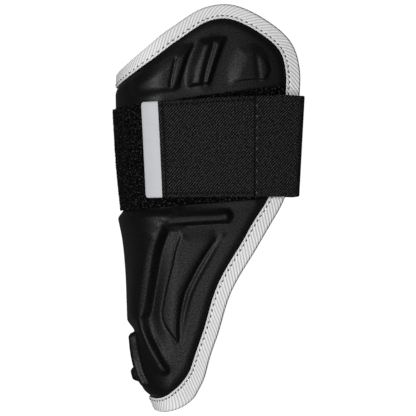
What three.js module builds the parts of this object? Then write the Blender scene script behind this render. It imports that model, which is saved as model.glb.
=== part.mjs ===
// A batter's elbow guard: a moulded foam trough for the outside of the arm, with white tape bound round
// its free edge and one wide elastic strap that closes over a plush loop panel.
// Millimetres, +Z up. The guard lies on its far flank. +Y runs along the arm to the shoulder end,
// +X points to the open side, and the ridge over the point of the elbow faces -X.
import * as THREE from "three";

// Layers, from the pad outwards
const PAD_WALL = 8;
const LOOP_THICKNESS = 2;
const HOOK_THICKNESS = 1.5;
const STRAP_THICKNESS = 1.8;
const GAP = 0.35;

// Tape round the free edge, and the thin pressed rim of the pad that it folds over
const TAPE_THICKNESS = 1;
const TAPE_WIDTH = 9.4;
const RIM_DROP = 2.4;
const RIM_THICKNESS = 3;
const RIM_SLOPE = 9;
const INNER_FACE_INSET = 1.5;

// Cross-sections from the wrist end up. The front is half an ellipse: ridge is the x of its crest, nose
// how far back it reaches and half its half-width, which the flanks keep.
const SECTIONS = [
  { y: -134, ridge: -35, nose: 18, half: 27 },
  { y: -126, ridge: -37.6, nose: 19, half: 28 },
  { y: -116, ridge: -43.8, nose: 22, half: 30 },
  { y: -102, ridge: -47.8, nose: 25, half: 32.5 },
  { y: -80, ridge: -48.5, nose: 28, half: 36 },
  { y: -60, ridge: -49.1, nose: 30, half: 39.5 },
  { y: -40, ridge: -50, nose: 31.5, half: 43 },
  { y: -20, ridge: -52, nose: 32.5, half: 45.3 },
  { y: -5, ridge: -54.9, nose: 33, half: 46 },
  { y: 5, ridge: -56.1, nose: 33, half: 46 },
  { y: 25, ridge: -58.1, nose: 33, half: 46 },
  { y: 50, ridge: -59.8, nose: 33, half: 46 },
  { y: 75, ridge: -60.7, nose: 33, half: 46 },
  { y: 95, ridge: -60, nose: 33, half: 46 },
  { y: 134, ridge: -59.6, nose: 32, half: 44.5 },
];
const SEAT_HALF_WIDTH = 46;

// Each flank is flat for a way behind the front, then leans in towards the open edge
const FLANK_FLAT = 45;
const FLANK_LEAN = 5;
const FLANK_LEAN_RUN = 40;

// Free edge of the near flank, from the ridge at the wrist end to the ridge at the arm end
const OUTLINE = [
  { x: -35.4, y: -133 },
  { x: -28.8, y: -133.2 },
  { x: -20.9, y: -131.2 },
  { x: -12.8, y: -127.3 },
  { x: -6.6, y: -120.8, corner: "low" },
  { x: -1.9, y: -110 },
  { x: 5.8, y: -84.1 },
  { x: 14.9, y: -55 },
  { x: 33.2, y: -23 },
  { x: 48.2, y: 3.2 },
  { x: 56, y: 30 },
  { x: 59, y: 66 },
  { x: 59.6, y: 88 },
  { x: 54.2, y: 105.9, corner: "high" },
  { x: 39, y: 119.8 },
  { x: 15.4, y: 130.4 },
  { x: -2.9, y: 128.4 },
  { x: -24.6, y: 115 },
  { x: -41.6, y: 102.2 },
  { x: -54.4, y: 92.6 },
  { x: -60, y: 88 },
];

// Seat of the loop panel: heights of its two edges at the ridge and at the open edge
const SEAT = { lowAtRidge: -1.5, lowAtEdge: 6, highAtRidge: 64.5, highAtEdge: 79 };

// Raised blocks of the near flank, by their outlines. The far flank mirrors them.
const BLOCK_SOFTNESS = 2.4;
const BLOCKS = [
  {
    name: "spine and its tail",
    height: 4.4,
    outline: [
      { x: -80, y: -5 },
      { x: -30, y: -4.6 },
      { x: -26.6, y: -13 },
      { x: -33.6, y: -28.2 },
      { x: -39.5, y: -58.9 },
      { x: -38.5, y: -76.2 },
      { x: -32.3, y: -95.4 },
      { x: -25.3, y: -106.2 },
      { x: -29.4, y: -108.2 },
      { x: -38.4, y: -92.2 },
      { x: -44.5, y: -71.7 },
      { x: -80, y: -69.8 },
    ],
  },
  {
    name: "side bar",
    height: 3.2,
    outline: [
      { x: -36, y: -4.7 },
      { x: 15.4, y: -2.4 },
      { x: 17.9, y: -5.6 },
      { x: 15, y: -9 },
      { x: -36, y: -13.4 },
    ],
  },
  {
    name: "lower wedge",
    height: 1.8,
    outline: [
      { x: -17, y: -17.3 },
      { x: 9.3, y: -17.6 },
      { x: -6.4, y: -38.7 },
      { x: -14.7, y: -59.5 },
      { x: -18.9, y: -86.4 },
      { x: -29.2, y: -68 },
      { x: -22.6, y: -36.4 },
    ],
  },
  {
    name: "upper front block",
    height: 3,
    outline: [
      { x: -46.7, y: 73.6 },
      { x: -20.8, y: 76.9 },
      { x: -11.8, y: 102.4 },
      { x: -24.3, y: 96.6 },
    ],
  },
  {
    name: "upper middle bar",
    height: 3,
    outline: [
      { x: -11.5, y: 78.4 },
      { x: -0.3, y: 79.6 },
      { x: 9.9, y: 107.8 },
      { x: -4.5, y: 106.2 },
    ],
  },
  {
    name: "upper back block",
    height: 3,
    outline: [
      { x: 15.7, y: 81.6 },
      { x: 37.8, y: 83 },
      { x: 37.8, y: 92.2 },
      { x: 28.2, y: 101.8 },
      { x: 22.4, y: 100.5 },
    ],
  },
];

// Round ribs and a round knob low on the front, by the arc from the ridge and the height along the arm
const RIB_CREST_SHARE = 0.2;
const RIB_FOOT_SHARE = 1.2;
const RIBS = [
  { name: "front rib", height: 4.8, radius: 6, from: { arc: 8, y: -84 }, to: { arc: 9, y: -99 } },
  { name: "front knob", height: 4.6, radius: 7.5, from: { arc: 0, y: -107 }, to: { arc: 3, y: -110 } },
];

// Strap, tab and hook patch on the near flank, by the x of their ends at their two long edges
const STRAP_LOW = { end: -27, endY: 6.7, turn: 58.2, turnY: 7.2 };
const STRAP_HIGH = { end: -30.2, endY: 68.2, turn: 61.7, turnY: 71.2 };
const STRAP_TURN_RADIUS = 5;
const STRAP_FAR_END = -25.6;
const TAB_LENGTH = 10.8;
const TAB_TAIL = 6.5;
const TAB_CORNER = 1.6;
const HOOK_LENGTH = 56;
const HOOK_MARGIN = 2;

// Cells across the pad and along its three bands, and along and across the strap's pieces
const COLUMNS = 48;
const LOWER_ROWS = 22;
const SEAT_ROWS = 10;
const UPPER_ROWS = 8;
const ROWS = LOWER_ROWS + SEAT_ROWS + UPPER_ROWS;
const STRAP_NEAR_CELLS = 16;
const STRAP_TURN_CELLS = 5;
const STRAP_BACK_CELLS = 3;
const STRAP_FAR_CELLS = 12;
const TAB_CELLS = 5;
const HOOK_CELLS = 10;
const ACROSS_CELLS = 4;
const SEAM_SAMPLES = 240;

const QUARTER_TURN = Math.PI / 2;
const { lerp, smoothstep } = THREE.MathUtils;

// Heights of the layers above the pad's outer surface
const HOOK_LIFT = GAP + LOOP_THICKNESS + GAP;
const STRAP_NEAR_LIFT = HOOK_LIFT + HOOK_THICKNESS + GAP;
const STRAP_FAR_LIFT = HOOK_LIFT;

// The far run of the strap lies on the ground, which sets the height of the trough's middle plane
const MIDDLE = SEAT_HALF_WIDTH + STRAP_FAR_LIFT + STRAP_THICKNESS;

// A closed skin of triangles, put together from grids of points and strips between loops
class Skin {
  positions = [];
  indices = [];

  add(point) {
    this.positions.push(point.x, point.y, point.z);
    return this.positions.length / 3 - 1;
  }

  distance(a, b) {
    const step = (axis) => this.positions[3 * a + axis] - this.positions[3 * b + axis];
    return Math.hypot(step(0), step(1), step(2));
  }

  // Two triangles, split along the shorter diagonal
  quad(a, b, c, d) {
    if (this.distance(a, c) < this.distance(b, d)) {
      this.indices.push(a, b, c, a, c, d);
    } else {
      this.indices.push(a, b, d, b, c, d);
    }
  }

  grid(points, inside) {
    const index = points.map((row) => row.map((point) => this.add(point)));
    for (let j = 0; j + 1 < index.length; j += 1) {
      for (let i = 0; i + 1 < index[j].length; i += 1) {
        const corners = [index[j][i], index[j][i + 1], index[j + 1][i + 1], index[j + 1][i]];
        this.quad(...(inside ? corners.reverse() : corners));
      }
    }
    return index;
  }

  strip(first, second) {
    first.forEach((start, k) => {
      const next = (k + 1) % first.length;
      this.quad(start, second[k], second[next], first[next]);
    });
  }

  // A strip from a loop to one with half as many points
  halvingStrip(fine, coarse) {
    coarse.forEach((start, k) => {
      const next = coarse[(k + 1) % coarse.length];
      const middle = fine[2 * k + 1];
      this.indices.push(fine[2 * k], start, middle);
      this.indices.push(middle, start, next);
      this.indices.push(middle, next, fine[(2 * k + 2) % fine.length]);
    });
  }

  geometry() {
    const geometry = new THREE.BufferGeometry();
    geometry.setAttribute("position", new THREE.Float32BufferAttribute(this.positions, 3));
    geometry.setIndex(this.indices);
    geometry.computeVertexNormals();
    return geometry;
  }
}

// Grid places round the border of a grid, every step cells, in the order that faces outwards
function borderPlaces(columns, rows, step = 1) {
  const places = [];
  for (let i = 0; i < columns; i += step) {
    places.push({ i, j: 0 });
  }
  for (let j = 0; j < rows; j += step) {
    places.push({ i: columns, j });
  }
  for (let i = columns; i > 0; i -= step) {
    places.push({ i, j: rows });
  }
  for (let j = rows; j > 0; j -= step) {
    places.push({ i: 0, j });
  }
  return places;
}

// A wall between an outer and an inner grid of points
function wallGeometry(outerPoints, innerPoints) {
  const skin = new Skin();
  const outer = skin.grid(outerPoints, false);
  const inner = skin.grid(innerPoints, true);
  const places = borderPlaces(outerPoints[0].length - 1, outerPoints.length - 1);
  skin.strip(
    places.map(({ i, j }) => outer[j][i]),
    places.map(({ i, j }) => inner[j][i]),
  );
  return skin.geometry();
}

// Trough surface. A place on it is an arc length from the ridge, positive on the near flank, and a y.
const sectionCurve = new THREE.CubicInterpolant(
  SECTIONS.map((section) => section.y),
  SECTIONS.flatMap(({ ridge, nose, half }) => [ridge, nose, half]),
  3,
);

function sectionAt(y) {
  const [ridge, nose, half] = sectionCurve.evaluate(y);
  return { ridge, nose, half };
}

// Length of the round front from the ridge to a turn, close to an ellipse's own
function frontArc(turn, nose, half) {
  return ((half + nose) / 2) * turn + ((half - nose) / 4) * Math.sin(2 * turn);
}

function frontTurn(arc, nose, half) {
  let turn = (2 * arc) / (half + nose);
  for (let step = 0; step < 4; step += 1) {
    const slope = (half + nose) / 2 + ((half - nose) / 2) * Math.cos(2 * turn);
    turn -= (frontArc(turn, nose, half) - arc) / slope;
  }
  return turn;
}

function surfacePoint(arc, y) {
  const { ridge, nose, half } = sectionAt(y);
  const frontLength = frontArc(QUARTER_TURN, nose, half);
  const along = Math.abs(arc);
  const turn = along < frontLength ? frontTurn(along, nose, half) : QUARTER_TURN;
  const run = Math.max(along - frontLength, 0);
  const lean = FLANK_LEAN * (Math.max(run - FLANK_FLAT, 0) / FLANK_LEAN_RUN) ** 2;
  const x = ridge + nose * (1 - Math.cos(turn)) + run;
  const z = MIDDLE + Math.sign(arc) * (half * Math.sin(turn) - lean);
  return new THREE.Vector3(x, y, z);
}

function surfaceNormal(arc, y) {
  const step = 0.05;
  const across = surfacePoint(arc + step, y).sub(surfacePoint(arc - step, y));
  const along = surfacePoint(arc, y + step).sub(surfacePoint(arc, y - step));
  return across.cross(along).normalize();
}

function liftedPoint(arc, y, lift) {
  return surfacePoint(arc, y).addScaledVector(surfaceNormal(arc, y), lift);
}

// Place on the trough under a point of the side view. Points in front of the ridge run on past it.
function placeUnder({ x, y }) {
  const { ridge, nose, half } = sectionAt(y);
  const back = x - ridge;
  if (back < 0) {
    return new THREE.Vector2(back, y);
  }
  if (back < nose) {
    return new THREE.Vector2(frontArc(Math.acos(1 - back / nose), nose, half), y);
  }
  return new THREE.Vector2(frontArc(QUARTER_TURN, nose, half) + back - nose, y);
}

// Free edge, as one closed curve over both flanks
function freeEdgeCurve() {
  const last = OUTLINE.length - 1;
  const near = OUTLINE.map((point, k) => {
    const place = placeUnder(point);
    return new THREE.Vector3(k === 0 || k === last ? 0 : place.x, place.y, 0);
  });
  const far = near.slice(1, last).map((place) => new THREE.Vector3(-place.x, place.y, 0));
  const curve = new THREE.CatmullRomCurve3([...near, ...far.reverse()], true, "centripetal");
  curve.arcLengthDivisions = 100 * curve.points.length;
  return curve;
}

const freeEdge = freeEdgeCurve();

// Share of the free edge's length up to the outline point that is marked as a corner
function cornerShare(name) {
  const index = OUTLINE.findIndex((point) => point.corner === name);
  const lengths = freeEdge.getLengths();
  const divisions = lengths.length - 1;
  return lengths[(index * divisions) / freeEdge.points.length] / lengths[divisions];
}

// Place a little way in from the free edge
function placeInside(share, inset) {
  const edge = freeEdge.getPointAt(share);
  const tangent = freeEdge.getTangentAt(share);
  return new THREE.Vector2(edge.x - tangent.y * inset, edge.y + tangent.x * inset);
}

const SEAM_INSET = TAPE_WIDTH + GAP;
const EDGE_INSET = TAPE_THICKNESS + GAP;
const LOW_CORNER = cornerShare("low");
const HIGH_CORNER = cornerShare("high");

// Share of the near edge where the seam beside the tape passes a height
function shareAtHeight(y) {
  let low = LOW_CORNER;
  let high = HIGH_CORNER;
  for (let step = 0; step < 40; step += 1) {
    const middle = (low + high) / 2;
    if (placeInside(middle, SEAM_INSET).y < y) {
      low = middle;
    } else {
      high = middle;
    }
  }
  return (low + high) / 2;
}

const SEAT_LOW_SHARE = shareAtHeight(SEAT.lowAtEdge);
const SEAT_HIGH_SHARE = shareAtHeight(SEAT.highAtEdge);
const SEAT_LOW_ROW = LOWER_ROWS;
const SEAT_HIGH_ROW = LOWER_ROWS + SEAT_ROWS;

// Bands of grid rows, with the shares of the near edge where each begins and ends
const BANDS = [
  { from: 0, to: SEAT_LOW_ROW, fromShare: LOW_CORNER, toShare: SEAT_LOW_SHARE },
  { from: SEAT_LOW_ROW, to: SEAT_HIGH_ROW, fromShare: SEAT_LOW_SHARE, toShare: SEAT_HIGH_SHARE },
  { from: SEAT_HIGH_ROW, to: ROWS, fromShare: SEAT_HIGH_SHARE, toShare: HIGH_CORNER },
];

function bandOf(row) {
  return BANDS.find((band) => row <= band.to);
}

// Share of the free edge beside a place on the border of the pad's grid
function borderShare({ i, j }) {
  if (j === 0) {
    return (lerp(-LOW_CORNER, LOW_CORNER, i / COLUMNS) + 1) % 1;
  }
  if (j === ROWS) {
    return lerp(1 - HIGH_CORNER, HIGH_CORNER, i / COLUMNS);
  }
  const band = bandOf(j);
  const near = lerp(band.fromShare, band.toShare, (j - band.from) / (band.to - band.from));
  return i === 0 ? 1 - near : near;
}

function borderPlace(i, j) {
  return placeInside(borderShare({ i, j }), SEAM_INSET);
}

// Place on a long edge of the seat, at a column of the grid
function seatEdgePlace(i, atRidge, row) {
  const edge = borderPlace(COLUMNS, row);
  const arc = lerp(-edge.x, edge.x, i / COLUMNS);
  const { nose, half } = sectionAt(atRidge);
  const frontLength = frontArc(QUARTER_TURN, nose, half);
  const back = (along) =>
    along < frontLength ? nose * (1 - Math.cos(frontTurn(along, nose, half))) : nose + along - frontLength;
  return new THREE.Vector2(arc, lerp(atRidge, edge.y, back(Math.abs(arc)) / back(edge.x)));
}

// Place at a column on the row where a band begins or ends
function bandEdgePlace(i, row) {
  if (row === SEAT_LOW_ROW) {
    return seatEdgePlace(i, SEAT.lowAtRidge, row);
  }
  if (row === SEAT_HIGH_ROW) {
    return seatEdgePlace(i, SEAT.highAtRidge, row);
  }
  return borderPlace(i, row);
}

// Places of the pad's grid: each band is a patch stretched between its four edges
function padPlaces() {
  const places = [];
  for (let j = 0; j <= ROWS; j += 1) {
    const { from, to } = bandOf(j);
    const t = (j - from) / (to - from);
    const row = [];
    for (let i = 0; i <= COLUMNS; i += 1) {
      const s = i / COLUMNS;
      const place = bandEdgePlace(i, from).lerp(bandEdgePlace(i, to), t);
      for (const [side, weight] of [[0, 1 - s], [COLUMNS, s]]) {
        const straight = bandEdgePlace(side, from).lerp(bandEdgePlace(side, to), t);
        const bowed = t === 0 || t === 1 ? straight : borderPlace(side, j);
        place.addScaledVector(bowed.clone().sub(straight), weight);
      }
      row.push(place);
    }
    places.push(row);
  }
  return places;
}

// Distance from a place to a stretch between two others
function stretchDistance(place, from, to) {
  const stretch = to.clone().sub(from);
  const offset = place.clone().sub(from);
  const share = THREE.MathUtils.clamp(offset.dot(stretch) / stretch.lengthSq(), 0, 1);
  return offset.addScaledVector(stretch, -share).length();
}

function loopDistance(place, loop) {
  return Math.min(...loop.map((from, k) => stretchDistance(place, from, loop[(k + 1) % loop.length])));
}

// Distance to a loop, positive inside it
function insideDistance(place, loop) {
  let inside = false;
  loop.forEach((from, k) => {
    const to = loop[(k + 1) % loop.length];
    const crosses = from.y > place.y !== to.y > place.y;
    const reach = from.x + ((to.x - from.x) * (place.y - from.y)) / (to.y - from.y);
    if (crosses && place.x < reach) {
      inside = !inside;
    }
  });
  return loopDistance(place, loop) * (inside ? 1 : -1);
}

const blockLoops = BLOCKS.map(({ height, outline }) => ({ height, loop: outline.map(placeUnder) }));
const ribStretches = RIBS.map(({ height, radius, from, to }) => ({
  height,
  radius,
  from: new THREE.Vector2(from.arc, from.y),
  to: new THREE.Vector2(to.arc, to.y),
}));
const seamLoop = Array.from({ length: SEAM_SAMPLES }, (_, k) => placeInside(k / SEAM_SAMPLES, SEAM_INSET));

// Share of the full padding at a place: none at the rim, all of it past the slope beside it
function paddingAt(place) {
  return smoothstep(loopDistance(place, seamLoop), 0, RIM_SLOPE);
}

// Height of the blocks and ribs at a place, the same on both flanks
function reliefAt(place) {
  const mirrored = new THREE.Vector2(Math.abs(place.x), place.y);
  let height = 0;
  for (const block of blockLoops) {
    const depth = insideDistance(mirrored, block.loop);
    height = Math.max(height, block.height * smoothstep(depth, -BLOCK_SOFTNESS, BLOCK_SOFTNESS));
  }
  for (const rib of ribStretches) {
    const away = stretchDistance(mirrored, rib.from, rib.to) / rib.radius;
    height = Math.max(height, rib.height * (1 - smoothstep(away, RIB_CREST_SHARE, RIB_FOOT_SHARE)));
  }
  return height;
}

// Frame of the rim beside a border place: the edge, the seam and the direction out of the pad
function rimAt(place) {
  const share = borderShare(place);
  const edgePlace = placeInside(share, EDGE_INSET);
  const seamPlace = placeInside(share, SEAM_INSET);
  const edge = surfacePoint(edgePlace.x, edgePlace.y);
  const seam = surfacePoint(seamPlace.x, seamPlace.y);
  const inward = seam.clone().sub(edge).normalize();
  const outward = surfaceNormal(edgePlace.x, edgePlace.y).add(surfaceNormal(seamPlace.x, seamPlace.y));
  outward.addScaledVector(inward, -outward.dot(inward)).normalize();
  return { edge, seam, inward, outward };
}

const RIM_TOP = -RIM_DROP;
const RIM_BOTTOM = -RIM_DROP - RIM_THICKNESS;
const padGrid = padPlaces();

function onBorder(i, j) {
  return i === 0 || i === COLUMNS || j === 0 || j === ROWS;
}

function padOuterPoint(i, j) {
  if (onBorder(i, j)) {
    const { seam, outward } = rimAt({ i, j });
    return seam.addScaledVector(outward, RIM_TOP);
  }
  const place = padGrid[j][i];
  const padding = paddingAt(place);
  return liftedPoint(place.x, place.y, lerp(RIM_TOP, reliefAt(place), padding));
}

function padInnerPoint(i, j) {
  const place = onBorder(i, j)
    ? placeInside(borderShare({ i, j }), SEAM_INSET + INNER_FACE_INSET)
    : padGrid[j][i];
  return liftedPoint(place.x, place.y, lerp(RIM_BOTTOM, -PAD_WALL, paddingAt(place)));
}

function pointGrid(columns, rows, pointAt, { columnStep = 1, rowStep = 1 } = {}) {
  const points = [];
  for (let j = 0; j <= rows; j += rowStep) {
    const row = [];
    for (let i = 0; i <= columns; i += columnStep) {
      row.push(pointAt(i, j));
    }
    points.push(row);
  }
  return points;
}

// Moulded pad: a wall with its blocks on the outside and a thin rim all round. The smooth inner face
// has half as many cells each way.
function mouldedPadGeometry() {
  const skin = new Skin();
  const outer = skin.grid(pointGrid(COLUMNS, ROWS, padOuterPoint), false);
  const inner = skin.grid(pointGrid(COLUMNS, ROWS, padInnerPoint, { columnStep: 2, rowStep: 2 }), true);
  const fine = borderPlaces(COLUMNS, ROWS);
  const coarse = borderPlaces(COLUMNS, ROWS, 2);
  const rimLoop = (line, height) =>
    fine.map((place) => {
      const rim = rimAt(place);
      return skin.add(rim[line].addScaledVector(rim.outward, height));
    });
  const loops = [
    fine.map(({ i, j }) => outer[j][i]),
    rimLoop("edge", RIM_TOP),
    rimLoop("edge", RIM_BOTTOM),
    rimLoop("seam", RIM_BOTTOM),
  ];
  loops.slice(1).forEach((loop, k) => skin.strip(loops[k], loop));
  skin.halvingStrip(
    loops[loops.length - 1],
    coarse.map(({ i, j }) => inner[j / 2][i / 2]),
  );
  return skin.geometry();
}

// Edge binding: a folded tape section carried round the rim
function edgeBindingGeometry() {
  const top = RIM_TOP + GAP;
  const bottom = RIM_BOTTOM - GAP;
  const section = [
    { lip: 1, in: -GAP, out: top + TAPE_THICKNESS },
    { lip: 0, in: -GAP, out: top + TAPE_THICKNESS },
    { lip: 0, in: -GAP - TAPE_THICKNESS, out: (top + bottom) / 2 },
    { lip: 0, in: -GAP, out: bottom - TAPE_THICKNESS },
    { lip: 1, in: -GAP, out: bottom - TAPE_THICKNESS },
    { lip: 1, in: -GAP, out: bottom },
    { lip: 0, in: -GAP, out: bottom },
    { lip: 0, in: -GAP, out: top },
    { lip: 1, in: -GAP, out: top },
  ];
  const skin = new Skin();
  const rims = borderPlaces(COLUMNS, ROWS).map(rimAt);
  const loops = section.map((corner) =>
    rims.map(({ edge, seam, inward, outward }) => {
      const start = corner.lip ? seam : edge;
      return skin.add(start.clone().addScaledVector(inward, corner.in).addScaledVector(outward, corner.out));
    }),
  );
  loops.forEach((loop, k) => skin.strip(loop, loops[(k + 1) % loops.length]));
  return skin.geometry();
}

// Loop panel: a wall over the pad's seat, from one seam beside the tape round the ridge to the other
function loopPanelGeometry() {
  const seatPoint = (lift) => (i, j) => {
    const row = SEAT_LOW_ROW + j;
    const place = padGrid[row][i];
    const outward = onBorder(i, row) ? rimAt({ i, j: row }).outward : surfaceNormal(place.x, place.y);
    const base = onBorder(i, row) ? RIM_TOP : lerp(RIM_TOP, 0, paddingAt(place));
    return surfacePoint(place.x, place.y).addScaledVector(outward, base + lift);
  };
  return wallGeometry(
    pointGrid(COLUMNS, SEAT_ROWS, seatPoint(GAP + LOOP_THICKNESS), { rowStep: 2 }),
    pointGrid(COLUMNS, SEAT_ROWS, seatPoint(GAP), { rowStep: 2 }),
  );
}

// Point of the side view at a share of the strap's near length and of its width
function strapSide(alongX, across) {
  const end = lerp(STRAP_LOW.end, STRAP_HIGH.end, across);
  const turn = lerp(STRAP_LOW.turn, STRAP_HIGH.turn, across);
  const share = (alongX - end) / (turn - end);
  const low = lerp(STRAP_LOW.endY, STRAP_LOW.turnY, share);
  const high = lerp(STRAP_HIGH.endY, STRAP_HIGH.turnY, share);
  return { x: alongX, y: lerp(low, high, across) };
}

// One line of points along the whole strap, at a share of its width and of its thickness
function strapLine(across, depth) {
  const end = lerp(STRAP_LOW.end, STRAP_HIGH.end, across);
  const leave = lerp(STRAP_LOW.turn, STRAP_HIGH.turn, across) - STRAP_TURN_RADIUS;
  const sunk = STRAP_THICKNESS * depth;
  const nearPlace = (x) => placeUnder(strapSide(x, across));
  const runPoint = (x, side, lift) => {
    const place = nearPlace(x);
    return liftedPoint(side * place.x, place.y, lift - sunk);
  };
  const turnPoints = (side, lift) => {
    const place = nearPlace(leave);
    const outward = surfaceNormal(side * place.x, place.y);
    const centre = liftedPoint(side * place.x, place.y, lift - STRAP_TURN_RADIUS);
    const start = Math.atan2(outward.x, side * outward.z);
    const points = [];
    for (let k = 1; k <= STRAP_TURN_CELLS; k += 1) {
      const angle = lerp(start, QUARTER_TURN, k / STRAP_TURN_CELLS);
      const radius = STRAP_TURN_RADIUS - sunk;
      const offset = new THREE.Vector3(Math.sin(angle), 0, side * Math.cos(angle));
      points.push(centre.clone().addScaledVector(offset, radius));
    }
    return points;
  };
  const nearLift = STRAP_NEAR_LIFT + STRAP_THICKNESS;
  const farLift = STRAP_FAR_LIFT + STRAP_THICKNESS;
  const line = [];
  for (let k = 0; k <= STRAP_NEAR_CELLS; k += 1) {
    line.push(runPoint(lerp(end, leave, k / STRAP_NEAR_CELLS), 1, nearLift));
  }
  line.push(...turnPoints(1, nearLift));
  const farTurn = turnPoints(-1, farLift).reverse();
  const spanStart = line[line.length - 1];
  for (let k = 1; k < STRAP_BACK_CELLS; k += 1) {
    line.push(spanStart.clone().lerp(farTurn[0], k / STRAP_BACK_CELLS));
  }
  line.push(...farTurn);
  for (let k = 0; k <= STRAP_FAR_CELLS; k += 1) {
    line.push(runPoint(lerp(leave, STRAP_FAR_END, k / STRAP_FAR_CELLS), -1, farLift));
  }
  return line;
}

// Strap: from its tab over the near flank, across the open side and along the far flank to its sewn end
function strapGeometry() {
  const face = (depth) => {
    const lines = [];
    for (let k = 0; k <= ACROSS_CELLS; k += 1) {
      lines.push(strapLine(k / ACROSS_CELLS, depth));
    }
    return lines;
  };
  return wallGeometry(face(0), face(1));
}

// A flat piece under the strap's near end, between two distances from that end
function underStrapGeometry({ from, to, cells, margin, corner }) {
  const pointAt = (lift) => (i, j) => {
    const trim = margin + (i === 0 ? corner : 0);
    const width = STRAP_HIGH.endY - STRAP_LOW.endY;
    const across = lerp(trim / width, 1 - trim / width, j / ACROSS_CELLS);
    const end = lerp(STRAP_LOW.end, STRAP_HIGH.end, across);
    const rounded = i === 1 && corner ? from + corner : lerp(from, to, i / cells);
    const place = placeUnder(strapSide(end + rounded, across));
    return liftedPoint(place.x, place.y, HOOK_LIFT + lift);
  };
  return wallGeometry(
    pointGrid(cells, ACROSS_CELLS, pointAt(HOOK_THICKNESS)),
    pointGrid(cells, ACROSS_CELLS, pointAt(0)),
  );
}

function pullTabGeometry() {
  return underStrapGeometry({
    from: -TAB_LENGTH,
    to: TAB_TAIL,
    cells: TAB_CELLS,
    margin: 0,
    corner: TAB_CORNER,
  });
}

function hookPatchGeometry() {
  return underStrapGeometry({
    from: TAB_TAIL + GAP,
    to: TAB_TAIL + HOOK_LENGTH,
    cells: HOOK_CELLS,
    margin: HOOK_MARGIN,
    corner: 0,
  });
}

function piece(name, geometry, color, roughness) {
  const material = new THREE.MeshStandardMaterial({ color, roughness, metalness: 0 });
  const mesh = new THREE.Mesh(geometry, material);
  mesh.name = name;
  return mesh;
}

const guard = new THREE.Group();
guard.name = "elbow_guard";
guard.add(
  piece("moulded_pad", mouldedPadGeometry(), "#161719", 0.75),
  piece("edge_binding", edgeBindingGeometry(), "#d6d4d6", 0.9),
  piece("loop_panel", loopPanelGeometry(), "#0e0e0e", 1),
  piece("hook_patch", hookPatchGeometry(), "#121212", 0.9),
  piece("strap", strapGeometry(), "#212020", 0.85),
  piece("pull_tab", pullTabGeometry(), "#c2c3c7", 0.5),
);

export default guard;
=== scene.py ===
"""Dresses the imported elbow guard: fabric pad, bound edge, plush panel, hook patch, elastic strap and tab.

Lengths are millimetres in the frame of the part's source: +Y runs along the arm to the shoulder end, +X
points to the open side, and the guard lies on its far flank. The settings and the stage are in metres.
"""

import math
from collections import namedtuple

import bpy
import numpy as np
from bpy.props import FloatProperty, FloatVectorProperty, IntProperty, PointerProperty
from bpy.types import Operator, Panel, PropertyGroup
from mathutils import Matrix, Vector


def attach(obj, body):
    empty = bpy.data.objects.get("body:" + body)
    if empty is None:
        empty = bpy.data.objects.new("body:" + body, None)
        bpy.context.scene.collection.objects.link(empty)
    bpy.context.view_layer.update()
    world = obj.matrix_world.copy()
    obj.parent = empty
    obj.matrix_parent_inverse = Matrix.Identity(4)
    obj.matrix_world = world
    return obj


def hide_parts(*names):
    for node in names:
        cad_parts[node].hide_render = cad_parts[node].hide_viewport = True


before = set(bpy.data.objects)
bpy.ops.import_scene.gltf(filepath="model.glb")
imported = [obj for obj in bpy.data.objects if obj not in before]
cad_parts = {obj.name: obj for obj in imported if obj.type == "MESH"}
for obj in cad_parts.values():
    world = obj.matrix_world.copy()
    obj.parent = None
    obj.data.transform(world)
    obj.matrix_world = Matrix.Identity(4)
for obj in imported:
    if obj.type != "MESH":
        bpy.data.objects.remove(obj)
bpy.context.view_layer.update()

bl_info = {
    "name": "Elbow Guard",
    "version": (1, 0, 0),
    "blender": (4, 5, 0),
    "location": "View3D > Sidebar > Elbow Guard",
    "description": "Builds the pieces of a batter's elbow guard round its packed frame",
    "category": "Object",
}

MM = 0.001
BODY = "root"
CLOTH_MAP = "cloth"
QUARTER_TURN = math.pi / 2
FULL_TURN = 2 * math.pi
AXIS_X = np.array([1.0, 0.0, 0.0])

# Layers, from the pad outwards
PAD_WALL = 8
LOOP_THICKNESS = 2
HOOK_THICKNESS = 1.5
STRAP_THICKNESS = 1.8
GAP = 0.35

# Tape round the free edge, and the thin pressed rim of the pad that it folds over
TAPE_THICKNESS = 1
TAPE_WIDTH = 9.4
RIM_DROP = 1.4
RIM_THICKNESS = 3
RIM_SLOPE = 5
RIM_ROUNDNESS = 2
INNER_FACE_INSET = 1.5
SEAM_INSET = TAPE_WIDTH + GAP
EDGE_INSET = TAPE_THICKNESS + GAP
RIM_TOP = -RIM_DROP
RIM_BOTTOM = -RIM_DROP - RIM_THICKNESS
TAPE_TOP = RIM_TOP + GAP + TAPE_THICKNESS
TAPE_BOTTOM = RIM_BOTTOM - GAP - TAPE_THICKNESS

# Heights of the layers above the pad's outer surface
HOOK_LIFT = GAP + LOOP_THICKNESS + GAP
STRAP_NEAR_TOP = HOOK_LIFT + HOOK_THICKNESS + GAP + STRAP_THICKNESS
STRAP_FAR_TOP = HOOK_LIFT + STRAP_THICKNESS

# Cross-sections from the wrist end up. The front is half an ellipse: ridge is the x of its crest, nose
# how far back it reaches and half its half-width, which the flanks keep.
Section = namedtuple("Section", "y ridge nose half")
SECTIONS = (
    Section(-134, -35, 18, 27),
    Section(-126, -37.6, 19, 28),
    Section(-116, -43.8, 22, 30),
    Section(-102, -47.8, 25, 32.5),
    Section(-80, -48.5, 28, 36),
    Section(-60, -49.1, 30, 39.5),
    Section(-40, -50, 31.5, 43),
    Section(-20, -52, 32.5, 45.3),
    Section(-5, -54.9, 33, 46),
    Section(5, -56.1, 33, 46),
    Section(25, -58.1, 33, 46),
    Section(50, -59.8, 33, 46),
    Section(75, -60.7, 33, 46),
    Section(95, -60, 33, 46),
    Section(134, -59.6, 32, 44.5),
)
SEAT_HALF_WIDTH = 46
MIDDLE = SEAT_HALF_WIDTH + STRAP_FAR_TOP

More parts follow.
